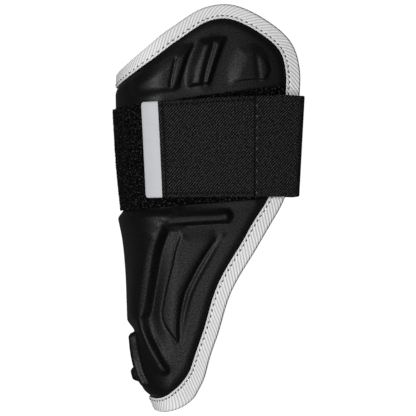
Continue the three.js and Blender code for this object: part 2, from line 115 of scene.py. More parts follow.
# Each flank is flat for a way behind the front, then leans in towards the open edge
FLANK_FLAT = 45
FLANK_LEAN = 5
FLANK_LEAN_RUN = 40

# Free edge of the near flank, from the ridge at the wrist end to the ridge at the arm end
Point = namedtuple("Point", "x y")
OUTLINE = (
    Point(-35.4, -133), Point(-28.8, -133.2), Point(-20.9, -131.2), Point(-12.8, -127.3),
    Point(-6.6, -120.8), Point(-1.9, -110), Point(5.8, -84.1), Point(14.9, -55), Point(33.2, -23),
    Point(48.2, 3.2), Point(56, 30), Point(59, 66), Point(59.6, 88), Point(54.2, 105.9), Point(39, 119.8),
    Point(15.4, 130.4), Point(-2.9, 128.4), Point(-24.6, 115), Point(-41.6, 102.2), Point(-54.4, 92.6),
    Point(-60, 88),
)
LOW_CORNER = 4
HIGH_CORNER = 13

# Seat of the loop panel: heights of its two edges at the ridge and at the open edge
Seat = namedtuple("Seat", "low_at_ridge low_at_edge high_at_ridge high_at_edge")
SEAT = Seat(-1.5, 6, 64.5, 79)

# Raised blocks of the near flank, which the far flank mirrors. Each side of a block is a smooth line from
# its first point to the next side's first point, and soft is half the width of its wall.
Side = namedtuple("Side", "soft points")
Block = namedtuple("Block", "name height sides")
SIDE_SAMPLES = 5
BLOCKS = (
    Block("spine", 4.4, (
        Side(3, (Point(-80, -4.2),)),
        Side(8, (Point(-19, -3), Point(-20, -9.6))),
        Side(1.7, (
            Point(-25.8, -12), Point(-28, -17), Point(-31.4, -27.7), Point(-34.1, -42.3),
            Point(-37.1, -60.3), Point(-38.2, -67),
        )),
        Side(4.2, (Point(-40.5, -73.5), Point(-80, -73.8))),
    )),
    Block("side bar", 3.4, (
        Side(4, (Point(-36, -3.6),)),
        Side(1.8, (Point(12.8, -2), Point(14.6, -5.2))),
        Side(1.1, (Point(12.8, -8.7), Point(-27.6, -11.4))),
        Side(2.4, (Point(-36, -12.6),)),
    )),
    Block("lower wedge", 1.5, (
        Side(6.5, (Point(-17.2, -16.4),)),
        Side(1.5, (
            Point(5.8, -17.8), Point(-3, -31.1), Point(-7.6, -38.6), Point(-12.1, -47.5),
            Point(-15.6, -55.2), Point(-17.9, -65.3), Point(-19, -74.8),
        )),
        Side(1, (
            Point(-19.6, -87), Point(-24.9, -79.7), Point(-28.2, -74.2), Point(-29.6, -68.6),
            Point(-28.8, -62), Point(-26.6, -50.8), Point(-23.2, -37.4), Point(-20.4, -25.2),
        )),
    )),
    Block("upper front block", 2.7, (
        Side(3, (Point(-46, 72.6), Point(-30, 74.8), Point(-22, 76.2))),
        Side(1.6, (Point(-19.4, 78), Point(-17.4, 85.1), Point(-13.7, 96.6))),
        Side(6, (Point(-11.6, 102.8), Point(-21.1, 98.2), Point(-35, 88.5), Point(-49, 78.5))),
    )),
    Block("upper middle bar", 2.8, (
        Side(1, (Point(-11.9, 78.2), Point(-5.5, 79.2))),
        Side(1.6, (Point(0.4, 79.5), Point(2.3, 85), Point(4.6, 92))),
        Side(3, (Point(10.2, 108),)),
        Side(4, (Point(-4.4, 106), Point(-8.8, 95.4), Point(-10.9, 88.4))),
    )),
    Block("upper back block", 1.4, (
        Side(1, (Point(15.9, 81.2), Point(29.4, 82.4))),
        Side(1.2, (Point(36.8, 82.4), Point(38.9, 88))),
        Side(4.5, (Point(36.6, 96.3), Point(29, 102.3))),
        Side(6, (Point(22, 100), Point(18, 90))),
    )),
)
WALL_BLEND = 1.2

# Beads (raised) and creases (sunk) pressed along smooth lines of the near flank. Lift is the height of the
# surface that a line is pressed into, ends the shares of its own height at its first and last points, and
# back its radius towards the ridge, where that is another.
Line = namedtuple("Line", "name height radius lift ends points back", defaults=(None,))
FULL = (1, 1)
LINE_END_RUNS = (0.2, 0.45)
LINES = (
    Line("bar crest", 0.6, 2.6, 3.8, FULL, (Point(11.6, -4.5), Point(-10, -5.6), Point(-27, -7.2))),
    Line("spine lip", 3.4, 4.1, 7.6, (0, 0.5), (
        Point(-30.2, -9.4), Point(-33.4, -14), Point(-35.8, -19), Point(-39.3, -28.2), Point(-42.2, -42.4),
        Point(-44.5, -57.2), Point(-45.5, -66.6), Point(-44.6, -76.2), Point(-41.2, -87.5),
        Point(-36, -97.6), Point(-32.8, -103.3),
    ), 14),
    Line("seat ledge", 0.7, 2.4, 0.5, FULL, (
        Point(-51, -4), Point(-20, -1.2), Point(10, 2.3), Point(30, 4.9),
    )),
    Line("wedge groove", -1, 3, 0, (1, 0.4), (
        Point(5.8, -19.5), Point(-2, -31.1), Point(-6.6, -38.6), Point(-11.1, -47.5), Point(-14.8, -55.2),
        Point(-17.2, -65.3), Point(-18.5, -74.8), Point(-19.3, -84.2),
    )),
    Line("wedge bead", 1, 1.6, 0.5, (0.5, 0.3), (
        Point(9, -17.6), Point(3.2, -27), Point(-2.6, -36.8), Point(-7.6, -46), Point(-11.8, -55.2),
        Point(-14.6, -65.3), Point(-16.4, -74.8), Point(-17.8, -82),
    )),
    Line("wedge crease", -0.7, 0.7, 0, (0.2, 1), (
        Point(-17.4, -17.5), Point(-20.6, -25.2), Point(-23.4, -37.4), Point(-26.8, -50.8), Point(-29, -62),
        Point(-29.8, -68.6), Point(-28.4, -74.4), Point(-25.1, -79.9), Point(-19.8, -87.2),
    )),
    Line("tail crease", -0.6, 0.8, 0, (0.3, 0.5), (
        Point(-37.2, -75.9), Point(-34.8, -83.3), Point(-32.3, -88.3), Point(-29.8, -94.3), Point(-27, -101),
    )),
    Line("front block crease", -0.9, 1, 2.7, FULL, (
        Point(-20.8, 95), Point(-22.2, 88), Point(-23.4, 82), Point(-23.9, 78),
    )),
    Line("middle bar crown", 1.3, 5, 2.8, FULL, (Point(1.6, 104), Point(-2.2, 91), Point(-4.4, 80.5))),
    Line("middle bar groove", -1.7, 1.9, 2.8, FULL, (
        Point(3.4, 104.5), Point(-0.6, 90.9), Point(-2.8, 80.5),
    )),
    Line("back block groove", -0.5, 1.8, 1.4, FULL, (Point(31.2, 96.5), Point(32.8, 83.5))),
)

# Round ribs low on the front, by the arc from the ridge and the height along the arm. Crest and foot are the
# distances from a rib's line to the ends of its wall, and fade the share of its height at its last point.
Place = namedtuple("Place", "arc y")
Rib = namedtuple("Rib", "name height fade crest foot points")
RIBS = (
    Rib("front rope", 4.3, 0.8, 1.3, 4.1, (
        Place(9.4, -84.6), Place(10.6, -88.6), Place(12.7, -94), Place(14.6, -99.4), Place(15.8, -104),
        Place(16.6, -108.4), Place(18.2, -112.6),
    )),
    Rib("front knob", 4, 1, 1.8, 6.2, (Place(0, -108.2), Place(4.2, -108.6))),
    Rib("spine tail", 4.2, 0.45, 1.2, 4.8, (
        Place(29, -66), Place(28.8, -76), Place(32, -87.5), Place(36.5, -97.6), Place(38.6, -103.6),
    )),
)

# Strap, tab and hook patch on the near flank, by the x of their ends at the strap's two long edges. The bow
# of the upper edge is full from one share of the strap's length to another.
StrapEdge = namedtuple("StrapEdge", "end end_y turn turn_y")
STRAP_LOW = StrapEdge(-28.1, 6.7, 58.2, 7.2)
STRAP_HIGH = StrapEdge(-31.3, 68.2, 61.7, 71.2)
STRAP_WIDTH = STRAP_HIGH.end_y - STRAP_LOW.end_y
STRAP_TOP_BOW = 1.5
STRAP_BOW_FULL = (0.6, 0.84)
STRAP_BOW_KEPT_AT_TURN = 0.35
STRAP_TURN_RADIUS = 5
STRAP_FAR_END = -25.6
TAB_LENGTH = 9.7
TAB_TAIL = 6.5
TAB_CORNER = 1.8
HOOK_LENGTH = 56
HOOK_MARGIN = 2
HOOK_CORNER = 0.01

# Cells of the pieces' meshes, and samples of the lines that they are measured from
PAD_COLUMNS = 380
PAD_BAND_ROWS = (128, 8, 54)
PANEL_COLUMNS = 240
PANEL_ROWS = 60
TAPE_STATIONS = 840
TAPE_CELLS = {"lip": 4, "flat": 20, "fold": 7}
STRAP_CELLS = {"near": 90, "turn": 12, "back": 40, "far": 60, "across": 48}
TAB_CELLS = {"along": 16, "across": 40}
HOOK_CELLS = {"along": 40, "across": 40}
ROUND_CELLS = 4
EDGE_SAMPLES = 400
SEAM_SAMPLES = 240
HEIGHT_SAMPLES = 4000
REFINEMENTS = 4
SLOPE_STEPS = 0.05 * np.eye(2)
EDGE_STEP = 0.0004

# View of the photograph: straight down on the near flank
PHOTO_PIXELS = 416
PIXEL_SIZE = 0.64
CAMERA_DISTANCE = 1700
FLANK_HEIGHT = 95
SENSOR_WIDTH = 36


def lerp(start, end, share):
    return start + (end - start) * share


def smoothstep(value, low, high):
    t = np.clip((value - low) / (high - low), 0, 1)
    return t * t * (3 - 2 * t)


def hermite(start, end, leave, arrive, t):
    """Smooth run from one value to another, by the slopes that it leaves and arrives with."""
    return lerp(start, end, t * t * (3 - 2 * t)) + leave * t * (1 - t) ** 2 - arrive * t * t * (1 - t)


def unit(vectors):
    return vectors / np.linalg.norm(vectors, axis=-1, keepdims=True)


def square_to(vectors, axis):
    """Unit vectors without what the given ones have along other unit vectors."""
    return unit(vectors - axis * (vectors * axis).sum(axis=-1, keepdims=True))


def pairs(first, second):
    """Two coordinates, spread over each other's shape, as one array of pairs."""
    return np.stack(np.broadcast_arrays(first, second), axis=-1)


def run_lengths(points):
    """Distance along a line at each of its points."""
    return np.append(0, np.cumsum(np.linalg.norm(np.diff(points, axis=0), axis=-1)))


# Trough surface. A place on it is an arc length from the ridge, positive on the near flank, and a y.
SECTION_TABLE = np.array(SECTIONS, float)
SECTION_Y = SECTION_TABLE[:, 0]
SECTION_VALUES = SECTION_TABLE[:, 1:]
SECTION_STEPS = np.diff(SECTION_VALUES, axis=0) / np.diff(SECTION_Y)[:, None]
SECTION_SLOPES = np.concatenate(
    [SECTION_STEPS[:1], (SECTION_STEPS[1:] + SECTION_STEPS[:-1]) / 2, SECTION_STEPS[-1:]]
)


def section_at(y):
    """Ridge, nose and half-width at heights y, on a smooth curve through the sections."""
    y = np.clip(y, SECTION_Y[0], SECTION_Y[-1])
    k = np.clip(np.searchsorted(SECTION_Y, y, side="right") - 1, 0, len(SECTION_Y) - 2)
    width = (SECTION_Y[k + 1] - SECTION_Y[k])[..., None]
    t = (y - SECTION_Y[k])[..., None] / width
    slopes = SECTION_SLOPES[k] * width, SECTION_SLOPES[k + 1] * width
    return np.moveaxis(hermite(SECTION_VALUES[k], SECTION_VALUES[k + 1], *slopes, t), -1, 0)


def front_arc(turn, nose, half):
    """Length of the round front from the ridge to a turn, close to an ellipse's own."""
    return (half + nose) / 2 * turn + (half - nose) / 4 * np.sin(2 * turn)


def front_and_flank(arc, nose, half):
    """Turn round the front and run along the flank at arc lengths from the ridge."""
    front = front_arc(QUARTER_TURN, nose, half)
    on_front = np.minimum(arc, front)
    turn = 2 * on_front / (half + nose)
    for _ in range(REFINEMENTS):
        slope = (half + nose) / 2 + (half - nose) / 2 * np.cos(2 * turn)
        turn = turn - (front_arc(turn, nose, half) - on_front) / slope
    return turn, np.maximum(arc - front, 0)


def surface_point(place):
    arc, y = np.moveaxis(place, -1, 0)
    ridge, nose, half = section_at(y)
    turn, run = front_and_flank(np.abs(arc), nose, half)
    lean = FLANK_LEAN * (np.maximum(run - FLANK_FLAT, 0) / FLANK_LEAN_RUN) ** 2
    x = ridge + nose * (1 - np.cos(turn)) + run
    z = MIDDLE + np.sign(arc) * (half * np.sin(turn) - lean)
    return np.stack([x, y, z], axis=-1)


def surface_normal(place):
    across, along = (surface_point(place + step) - surface_point(place - step) for step in SLOPE_STEPS)
    return unit(np.cross(across, along))


def lifted_point(place, lift):
    return surface_point(place) + surface_normal(place) * lift[..., None]


def place_under(x, y):
    """Places on the trough under points of the side view. Points before the ridge run on past it."""
    x, y = np.broadcast_arrays(x, y)
    ridge, nose, half = section_at(y)
    back = x - ridge
    on_front = front_arc(np.arccos(np.clip(1 - back / nose, -1, 1)), nose, half)
    on_flank = front_arc(QUARTER_TURN, nose, half) + back - nose
    return pairs(np.where(back < 0, back, np.where(back < nose, on_front, on_flank)), y)


def places_under(points, lift=0):
    """Places whose points, lifted off the trough, are those of the side view."""
    x, y = np.array(points, float).T
    places = place_under(x, y)
    for _ in range(REFINEMENTS):
        shift = surface_normal(places) * lift
        places = place_under(x - shift[:, 0], y - shift[:, 1])
    return places


def smooth_curve(points, samples, closed=False):
    """Points of a smooth curve through the given ones, with that many samples to a stretch."""
    if closed:
        before, start, end, after = (np.roll(points, shift, axis=0) for shift in (1, 0, -1, -2))
    else:
        padded = np.concatenate([2 * points[:1] - points[1:2], points, 2 * points[-1:] - points[-2:-1]])
        before, start, end, after = padded[:-3], padded[1:-2], padded[2:-1], padded[3:]
    steps = (start - before, end - start, after - end)
    first, middle, last = (np.sqrt(np.linalg.norm(step, axis=-1))[:, None] for step in steps)
    leave = steps[0] / first - (end - before) / (first + middle) + steps[1] / middle
    arrive = steps[1] / middle - (after - start) / (middle + last) + steps[2] / last
    t = (np.arange(samples) / samples)[:, None]
    curve = hermite(*(value[:, None] for value in (start, end, leave * middle, arrive * middle)), t)
    return np.concatenate([curve.reshape(-1, 2), points[:1] if closed else points[-1:]])


# Free edge, as one closed curve over both flanks
def free_edge_places():
    near = places_under(OUTLINE)
    near[[0, -1], 0] = 0
    far = near[-2:0:-1] * np.array([-1, 1])
    return smooth_curve(np.concatenate([near, far]), EDGE_SAMPLES, closed=True)


EDGE_PLACES = free_edge_places()
EDGE_LENGTHS = run_lengths(EDGE_PLACES)
EDGE_LENGTH = EDGE_LENGTHS[-1]
LOW_SHARE = EDGE_LENGTHS[LOW_CORNER * EDGE_SAMPLES] / EDGE_LENGTH
HIGH_SHARE = EDGE_LENGTHS[HIGH_CORNER * EDGE_SAMPLES] / EDGE_LENGTH


def edge_place(share):
    length = np.mod(share, 1) * EDGE_LENGTH
    return np.stack([np.interp(length, EDGE_LENGTHS, column) for column in EDGE_PLACES.T], axis=-1)


def place_inside(share, inset):
    """Places a little way in from the free edge, at shares of its length."""
    tangent = unit(edge_place(share + EDGE_STEP) - edge_place(share - EDGE_STEP))
    inward = np.stack([-tangent[..., 1], tangent[..., 0]], axis=-1)
    return edge_place(share) + inward * inset


def share_at_height(y):
    """Share of the near edge where the seam beside the tape passes a height."""
    shares = np.linspace(LOW_SHARE, HIGH_SHARE, HEIGHT_SAMPLES)
    return float(np.interp(y, place_inside(shares, SEAM_INSET)[:, 1], shares))


SEAT_LOW_SHARE = share_at_height(SEAT.low_at_edge)
SEAT_HIGH_SHARE = share_at_height(SEAT.high_at_edge)
BAND_SHARES = (LOW_SHARE, SEAT_LOW_SHARE, SEAT_HIGH_SHARE, HIGH_SHARE)


def seat_edge_row(share_across, at_ridge, edge_share):
    """Places along a long edge of the panel's seat, from far seam to near seam."""
    reach, edge_y = place_inside(edge_share, SEAM_INSET)
    arc = lerp(-reach, reach, share_across)
    _, nose, half = section_at(np.array(float(at_ridge)))

    def back(along):
        turn, run = front_and_flank(along, nose, half)
        return nose * (1 - np.cos(turn)) + run

    return pairs(arc, lerp(at_ridge, edge_y, back(np.abs(arc)) / back(reach)))


def stretched_patch(start, end, far, near):
    """Places of a patch stretched between its first and last rows and its two side lines."""
    s = np.linspace(0, 1, len(start))[None, :, None]
    t = np.linspace(0, 1, len(far))[:, None, None]
    patch = lerp(start[None], end[None], t)
    for side, weight in ((far, 1 - s), (near, s)):
        patch = patch + (side[:, None] - lerp(side[0], side[-1], t)) * weight
    return patch


def pad_bands(columns, band_rows):
    """Grids of places for the three bands: below the seat, the seat, and above it."""
    across = np.linspace(0, 1, columns + 1)
    rows = (
        place_inside(lerp(-LOW_SHARE, LOW_SHARE, across), SEAM_INSET),
        seat_edge_row(across, SEAT.low_at_ridge, SEAT_LOW_SHARE),
        seat_edge_row(across, SEAT.high_at_ridge, SEAT_HIGH_SHARE),
        place_inside(lerp(1 - HIGH_SHARE, HIGH_SHARE, across), SEAM_INSET),
    )
    bands = []
    for k, count in enumerate(band_rows):
        shares = np.linspace(BAND_SHARES[k], BAND_SHARES[k + 1], count + 1)
        sides = place_inside(1 - shares, SEAM_INSET), place_inside(shares, SEAM_INSET)
        bands.append(stretched_patch(rows[k], rows[k + 1], *sides))
    return bands


def border_shares(columns, band_rows):
    """Shares of the free edge beside the border of the pad's grid, in the order of border_cells."""
    stops = zip(BAND_SHARES[:-1], BAND_SHARES[1:], band_rows)
    bottom = np.linspace(-LOW_SHARE, LOW_SHARE, columns + 1)[:-1]
    near = np.concatenate([np.linspace(low, high, count + 1)[:-1] for low, high, count in stops])
    top = np.linspace(HIGH_SHARE, 1 - HIGH_SHARE, columns + 1)[:-1]
    far = 1 - np.append(near, HIGH_SHARE)[:0:-1]
    return np.concatenate([bottom, near, top, far])


def border_cells(grid):
    """Rows and columns round the border of a grid, from its first corner along its first row."""
    shape = grid.shape[:2]
    numbers = np.arange(math.prod(shape)).reshape(shape)
    loop = (numbers[0, :-1], numbers[:-1, -1], numbers[-1, :0:-1], numbers[:0:-1, 0])
    return np.unravel_index(np.concatenate(loop), shape)


def stretch_nearest(place, start, end):
    """Distances from places to a straight stretch, and the shares of it that are nearest to them."""
    stretch = end - start
    share = np.clip((place - start) @ stretch / (stretch @ stretch), 0, 1)
    return np.linalg.norm(place - start - share[..., None] * stretch, axis=-1), share


def line_distances(place, points):
    """Distances from places to each stretch of a line."""
    return np.stack([stretch_nearest(place, a, b)[0] for a, b in zip(points[:-1], points[1:])])


def line_nearest(place, points):
    """Distances from places to a line, and the shares of its stretches passed where it is nearest."""
    nearest = np.full(place.shape[:-1], np.inf)
    along = np.zeros(place.shape[:-1])
    for k, (start, end) in enumerate(zip(points[:-1], points[1:])):
        away, share = stretch_nearest(place, start, end)
        along = np.where(away < nearest, k + share, along)
        nearest = np.minimum(away, nearest)
    return nearest, along / (len(points) - 1)


def is_inside(place, loop):
    inside = np.zeros(place.shape[:-1], bool)
    for start, end in zip(loop, np.roll(loop, -1, axis=0)):
        crosses = (start[1] > place[..., 1]) != (end[1] > place[..., 1])
        rise = end[1] - start[1] if end[1] != start[1] else 1
        reach = start[0] + (end[0] - start[0]) * (place[..., 1] - start[1]) / rise
        inside ^= crosses & (place[..., 0] < reach)
    return inside


def padding_at(place):
    """Share of the full padding at places: none at the rim, all of it past the slope beside it."""
    seam = place_inside(np.linspace(0, 1, SEAM_SAMPLES + 1), SEAM_INSET)
    away, _ = line_nearest(place, seam)
    lack = 1 - np.clip(away / RIM_SLOPE, 0, 1)
    return np.where(is_inside(place, seam[:-1]), 1 - lack ** RIM_ROUNDNESS, 0)


def block_outline(block):
    """Places round a block, and the softness of the wall that starts at each."""
    outline, walls = [], []
    for side, after in zip(block.sides, block.sides[1:] + block.sides[:1]):
        points = places_under(side.points + after.points[:1], block.height / 2)
        outline.append(smooth_curve(points, SIDE_SAMPLES)[:-1])
        walls += [side.soft] * len(outline[-1])
    return np.concatenate(outline), np.array(walls)


def block_height(place, block):
    """Height of a block at places. Near a corner, the softness of its two walls is blended."""
    loop, walls = block_outline(block)
    away = line_distances(place, np.concatenate([loop, loop[:1]]))
    nearest = away.min(axis=0)
    pull = np.exp((nearest - away) / WALL_BLEND)
    soft = np.tensordot(walls, pull, axes=1) / pull.sum(axis=0)
    depth = np.where(is_inside(place, loop), nearest, -nearest)
    return block.height * smoothstep(depth, -soft, soft)


def rib_height(place, rib):
    away, along = line_nearest(place, smooth_curve(np.array(rib.points, float), SIDE_SAMPLES))
    return rib.height * lerp(1, rib.fade, along) * (1 - smoothstep(away, rib.crest, rib.foot))


def line_height(place, line):
    points = smooth_curve(places_under(line.points, line.lift), SIDE_SAMPLES)
    away, along = line_nearest(place, points)
    share, inner = 1, 1
    for end, run, from_end in zip(line.ends, LINE_END_RUNS, (along, 1 - along)):
        inside = smoothstep(from_end, 0, run)
        share = share * lerp(end, 1, inside)
        inner = inner * inside
    radius = line.radius
    if line.back:
        line_arc = np.interp(place[..., 1], points[::-1, 1], points[::-1, 0])
        radius = np.where(place[..., 0] < line_arc, lerp(radius, line.back, inner), radius)
    return line.height * share * np.exp(-(away / radius) ** 2)


def relief_at(place):
    """Height of the blocks, ribs, beads and creases at places, the same on both flanks."""
    mirrored = pairs(np.abs(place[..., 0]), place[..., 1])
    raised = [block_height(mirrored, block) for block in BLOCKS]
    raised += [rib_height(mirrored, rib) for rib in RIBS]
    return np.max(raised, axis=0) + sum(line_height(mirrored, line) for line in LINES)


Rim = namedtuple("Rim", "edge seam inward outward")


def rim_at(share):
    """Frames of the rim at shares of the free edge: its edge, its seam and the directions in and out."""
    edge_at, seam_at = place_inside(share, EDGE_INSET), place_inside(share, SEAM_INSET)
    edge, seam = surface_point(edge_at), surface_point(seam_at)
    inward = unit(seam - edge)
    return Rim(edge, seam, inward, square_to(surface_normal(edge_at) + surface_normal(seam_at), inward))


# Meshes
class Skin:
    """Points, faces and cloth places of one piece, gathered from grids, sheets and tubes."""

    def __init__(self):
        self.points = []
        self.faces = []
        self.cloth = []
        self.size = 0

    def add(self, points):
        """Adds points and returns their numbers in the same arrangement."""
        flat = points.reshape(-1, 3)
        numbers = self.size + np.arange(len(flat)).reshape(points.shape[:-1])
        self.points.append(flat)
        self.size += len(flat)
        return numbers

    def cells(self, corners, cloth=None):
        """Adds faces by the numbers of their corners, with the cloth place of each corner, if it has one."""
        self.faces.extend(map(tuple, corners.tolist()))
        self.cloth.append(np.zeros((corners.size, 2)) if cloth is None else cloth.reshape(-1, 2))

    def grid(self, numbers, cloth, flip=False):
        """Adds the cells of a grid of numbered points."""
        def cell_corners(values):
            corners = (values[:-1, :-1], values[:-1, 1:], values[1:, 1:], values[1:, :-1])
            return np.stack(corners[::-1] if flip else corners, axis=2)

        self.cells(cell_corners(numbers).reshape(-1, 4), cell_corners(cloth))

    def closed_sheet(self, middle, outward, above, below, cloth):
        """Adds the two faces of a sheet, above and below its middle, which meet along its border."""
        upper = self.add(middle + outward * above[..., None])
        lower = upper.copy()
        lower[1:-1, 1:-1] = self.add((middle - outward * below[..., None])[1:-1, 1:-1])
        self.grid(upper, cloth)
        self.grid(lower, cloth, flip=True)

    def tubes(self, rings, flip=False):
        """Adds the walls of many tubes, each by its rings of corners, and returns the corners' numbers."""
        numbers = self.add(rings)
        after = np.roll(numbers, -1, axis=2)
        corners = (numbers[:, :-1], after[:, :-1], after[:, 1:], numbers[:, 1:])
        quads = np.stack(corners, axis=-1).reshape(-1, 4)
        self.cells(quads[:, ::-1] if flip else quads)
        return numbers

    def build(self, name, material):
        """Makes the piece as an object in metres, smooth shaded, that rides on the guard."""
        mesh = bpy.data.meshes.new(name)
        mesh.from_pydata((np.concatenate(self.points) * MM).tolist(), [], self.faces)
        layer = mesh.uv_layers.new(name=CLOTH_MAP)
        layer.data.foreach_set("uv", np.concatenate(self.cloth).astype(np.float32).ravel())
        mesh.polygons.foreach_set("use_smooth", np.ones(len(self.faces), bool))
        mesh.materials.append(material)
        mesh.update()
        piece = bpy.data.objects.new(name, mesh)
        bpy.context.scene.collection.objects.link(piece)
        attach(piece, BODY)
        return piece


def closed_columns(values):
    """A grid whose first column is repeated after its last."""
    return np.concatenate([values, values[:, :1]], axis=1)


def margin_stops(radius):
    """Stops in the rounded margin at an end, from its border in."""
    return radius * (1 - np.cos(np.linspace(0, QUARTER_TURN, ROUND_CELLS + 1)))[:-1]


def round_stops(length, cells, radius):
    """Stops along a length, with more of them in the rounded margin at each end."""
    margin = margin_stops(radius)
    return np.concatenate([margin, np.linspace(radius, length - radius, cells + 1), length - margin[::-1]])


def round_height(from_border, radius):
    """Share of the full thickness near a rounded border."""
    lack = 1 - np.clip(from_border / radius, 0, 1)
    return np.sqrt(1 - lack * lack)


SHORTEST_WAVE = 0.3


def seeded_waves(first, second, seed, count, longest):
    """Gentle unevenness between about -1 and 1 over two coordinates, the same on each run."""
    source = np.random.default_rng(seed)
    total = np.zeros(np.broadcast(first, second).shape)
    for _ in range(count):
        direction = source.uniform(0, FULL_TURN)
        length = longest * source.uniform(SHORTEST_WAVE, 1)
        phase = source.uniform(0, FULL_TURN)
        run = first * math.cos(direction) + second * math.sin(direction)
        total += np.sin(FULL_TURN * run / length + phase)
    return total / math.sqrt(count)


# Moulded pad, whose far side is pressed flat where the guard lies on it
LYING_CLEARANCE = 0.1


def moulded_pad_skin(relief_share):
    skin = Skin()
    bands = pad_bands(PAD_COLUMNS, PAD_BAND_ROWS)
    places = np.concatenate([bands[0], bands[1][1:], bands[2][1:]])
    shares = border_shares(PAD_COLUMNS, PAD_BAND_ROWS)
    rim = rim_at(shares)
    outer = lifted_point(places, lerp(RIM_TOP, relief_at(places) * relief_share, padding_at(places)))
    outer[..., 2] = np.maximum(outer[..., 2], LYING_CLEARANCE)
    outer[border_cells(outer)] = rim.seam + rim.outward * RIM_TOP
    inner_places = places[::2, ::2].copy()
    inner_border = border_cells(inner_places)
    inner_places[inner_border] = place_inside(shares[::2], SEAM_INSET + INNER_FACE_INSET)
    inner_lift = lerp(RIM_BOTTOM, -PAD_WALL, padding_at(inner_places))
    outer_numbers = skin.add(outer)
    inner_numbers = skin.add(lifted_point(inner_places, inner_lift))
    skin.grid(outer_numbers, places)
    skin.grid(inner_numbers, inner_places, flip=True)
    loops = np.stack([
        outer_numbers[border_cells(outer)],
        skin.add(rim.edge + rim.outward * RIM_TOP),
        skin.add(rim.edge + rim.outward * RIM_BOTTOM),
        skin.add(rim.seam + rim.outward * RIM_BOTTOM),
    ])
    widths = np.cumsum([0, TAPE_WIDTH, RIM_THICKNESS, TAPE_WIDTH])
    lengths = np.append(shares, shares[0] + 1) * EDGE_LENGTH
    skin.grid(closed_columns(loops), pairs(lengths[None], widths[:, None]), flip=True)
    fine, coarse = loops[-1], inner_numbers[inner_border]
    corners = (coarse, np.roll(coarse, -1), np.roll(fine[::2], -1), fine[1::2], fine[::2])
    cloth = np.repeat(inner_places[inner_border][:, None], len(corners), axis=1)
    skin.cells(np.stack(corners, axis=-1), cloth)
    return skin


# Edge binding
TAPE_LIP = TAPE_WIDTH - EDGE_INSET
TAPE_FOLD_DEPTH = 1.7
TAPE_LIP_RADIUS = 0.45
TAPE_LIP_ZONE = 3
STITCH_INSET = 1.7
STITCH_GROOVE_DEPTH = 0.32
STITCH_GROOVE_WIDTH = 0.75


def tape_face_profile():
    """Outer face of the tape's near half, from lip to fold: distances in from the edge, and heights."""
    fold_start = TAPE_FOLD_DEPTH - EDGE_INSET
    lip_start = TAPE_LIP - TAPE_LIP_RADIUS
    turn = np.linspace(0, QUARTER_TURN, TAPE_CELLS["lip"] + 1)[:-1]
    flat_in = np.linspace(lip_start, fold_start, TAPE_CELLS["flat"])
    away = (flat_in - (TAPE_LIP - STITCH_INSET)) / STITCH_GROOVE_WIDTH
    fold = np.linspace(0, QUARTER_TURN, TAPE_CELLS["fold"] + 1)[1:]
    half = (TAPE_TOP - TAPE_BOTTOM) / 2
    fold_in = fold_start - TAPE_FOLD_DEPTH * np.sin(fold)
    inward = (lip_start + TAPE_LIP_RADIUS * np.cos(turn), flat_in, fold_in)
    out = (
        TAPE_TOP - TAPE_LIP_RADIUS + TAPE_LIP_RADIUS * np.sin(turn),
        TAPE_TOP - STITCH_GROOVE_DEPTH * np.exp(-away * away),
        TAPE_TOP - half + half * np.cos(fold),
    )
    return np.concatenate(inward), np.concatenate(out)


def tape_profile():
    """Closed section of the folded tape, and the cloth distance across it."""
    inward, out = tape_face_profile()
    under_in = np.array([TAPE_LIP, -GAP, -GAP, TAPE_LIP])
    under_out = np.repeat([TAPE_BOTTOM + TAPE_THICKNESS, TAPE_TOP - TAPE_THICKNESS], 2)
    inward = np.concatenate([inward, inward[-2::-1], under_in])
    out = np.concatenate([out, TAPE_TOP + TAPE_BOTTOM - out[-2::-1], under_out])
    steps = np.hypot(np.diff(inward, append=inward[0]), np.diff(out, append=out[0]))
    return inward, out, np.append(0, np.cumsum(steps))


def edge_binding_skin():
    skin = Skin()
    rim = rim_at(np.arange(TAPE_STATIONS) / TAPE_STATIONS)
    inward, out, across = tape_profile()
    wider = np.linalg.norm(rim.seam - rim.edge, axis=-1) - GAP - TAPE_LIP
    spread = np.clip(inward / (TAPE_LIP - TAPE_LIP_ZONE), 0, 1)
    reach = inward[:, None] + spread[:, None] * wider
    points = rim.edge + reach[..., None] * rim.inward + out[:, None, None] * rim.outward
    numbers = closed_columns(skin.add(points))
    lengths = np.linspace(0, EDGE_LENGTH, TAPE_STATIONS + 1)
    skin.grid(np.concatenate([numbers, numbers[:1]]), pairs(lengths[None], across[:, None]), flip=True)
    return skin


# Loop panel
BACKING_THICKNESS = 1.4
PANEL_UNEVENNESS = 0.3


def loop_panel_face():
    """Places of the panel, the points of its back, and the directions out of it."""
    places = pad_bands(PANEL_COLUMNS, (1, PANEL_ROWS, 1))[1]
    outward = surface_normal(places)
    base = lerp(RIM_TOP, 0, padding_at(places)) + GAP
    return places, surface_point(places) + outward * base[..., None], outward


def from_grid_border(points):
    """Distance of each point of a grid from its nearest border, along the grid's lines."""
    steps_along = np.linalg.norm(np.diff(points, axis=1), axis=-1)
    steps_across = np.linalg.norm(np.diff(points, axis=0), axis=-1)
    along = np.pad(np.cumsum(steps_along, axis=1), ((0, 0), (1, 0)))
    across = np.pad(np.cumsum(steps_across, axis=0), ((1, 0), (0, 0)))
    sides = np.minimum(along, along[:, -1:] - along)
    ends = np.minimum(across, across[-1:] - across)
    return np.minimum(sides, ends)


def loop_panel_skin():
    skin = Skin()
    places, back, outward = loop_panel_face()
    waves = seeded_waves(places[..., 0], places[..., 1], seed=4, count=24, longest=11)
    inside = round_height(from_grid_border(back), BACKING_THICKNESS)
    lift = BACKING_THICKNESS / 2 * (1 + inside) + PANEL_UNEVENNESS * waves * inside
    sunk = BACKING_THICKNESS / 2 * (1 - inside)
    skin.closed_sheet(back, outward, lift, -sunk, places)
    return skin


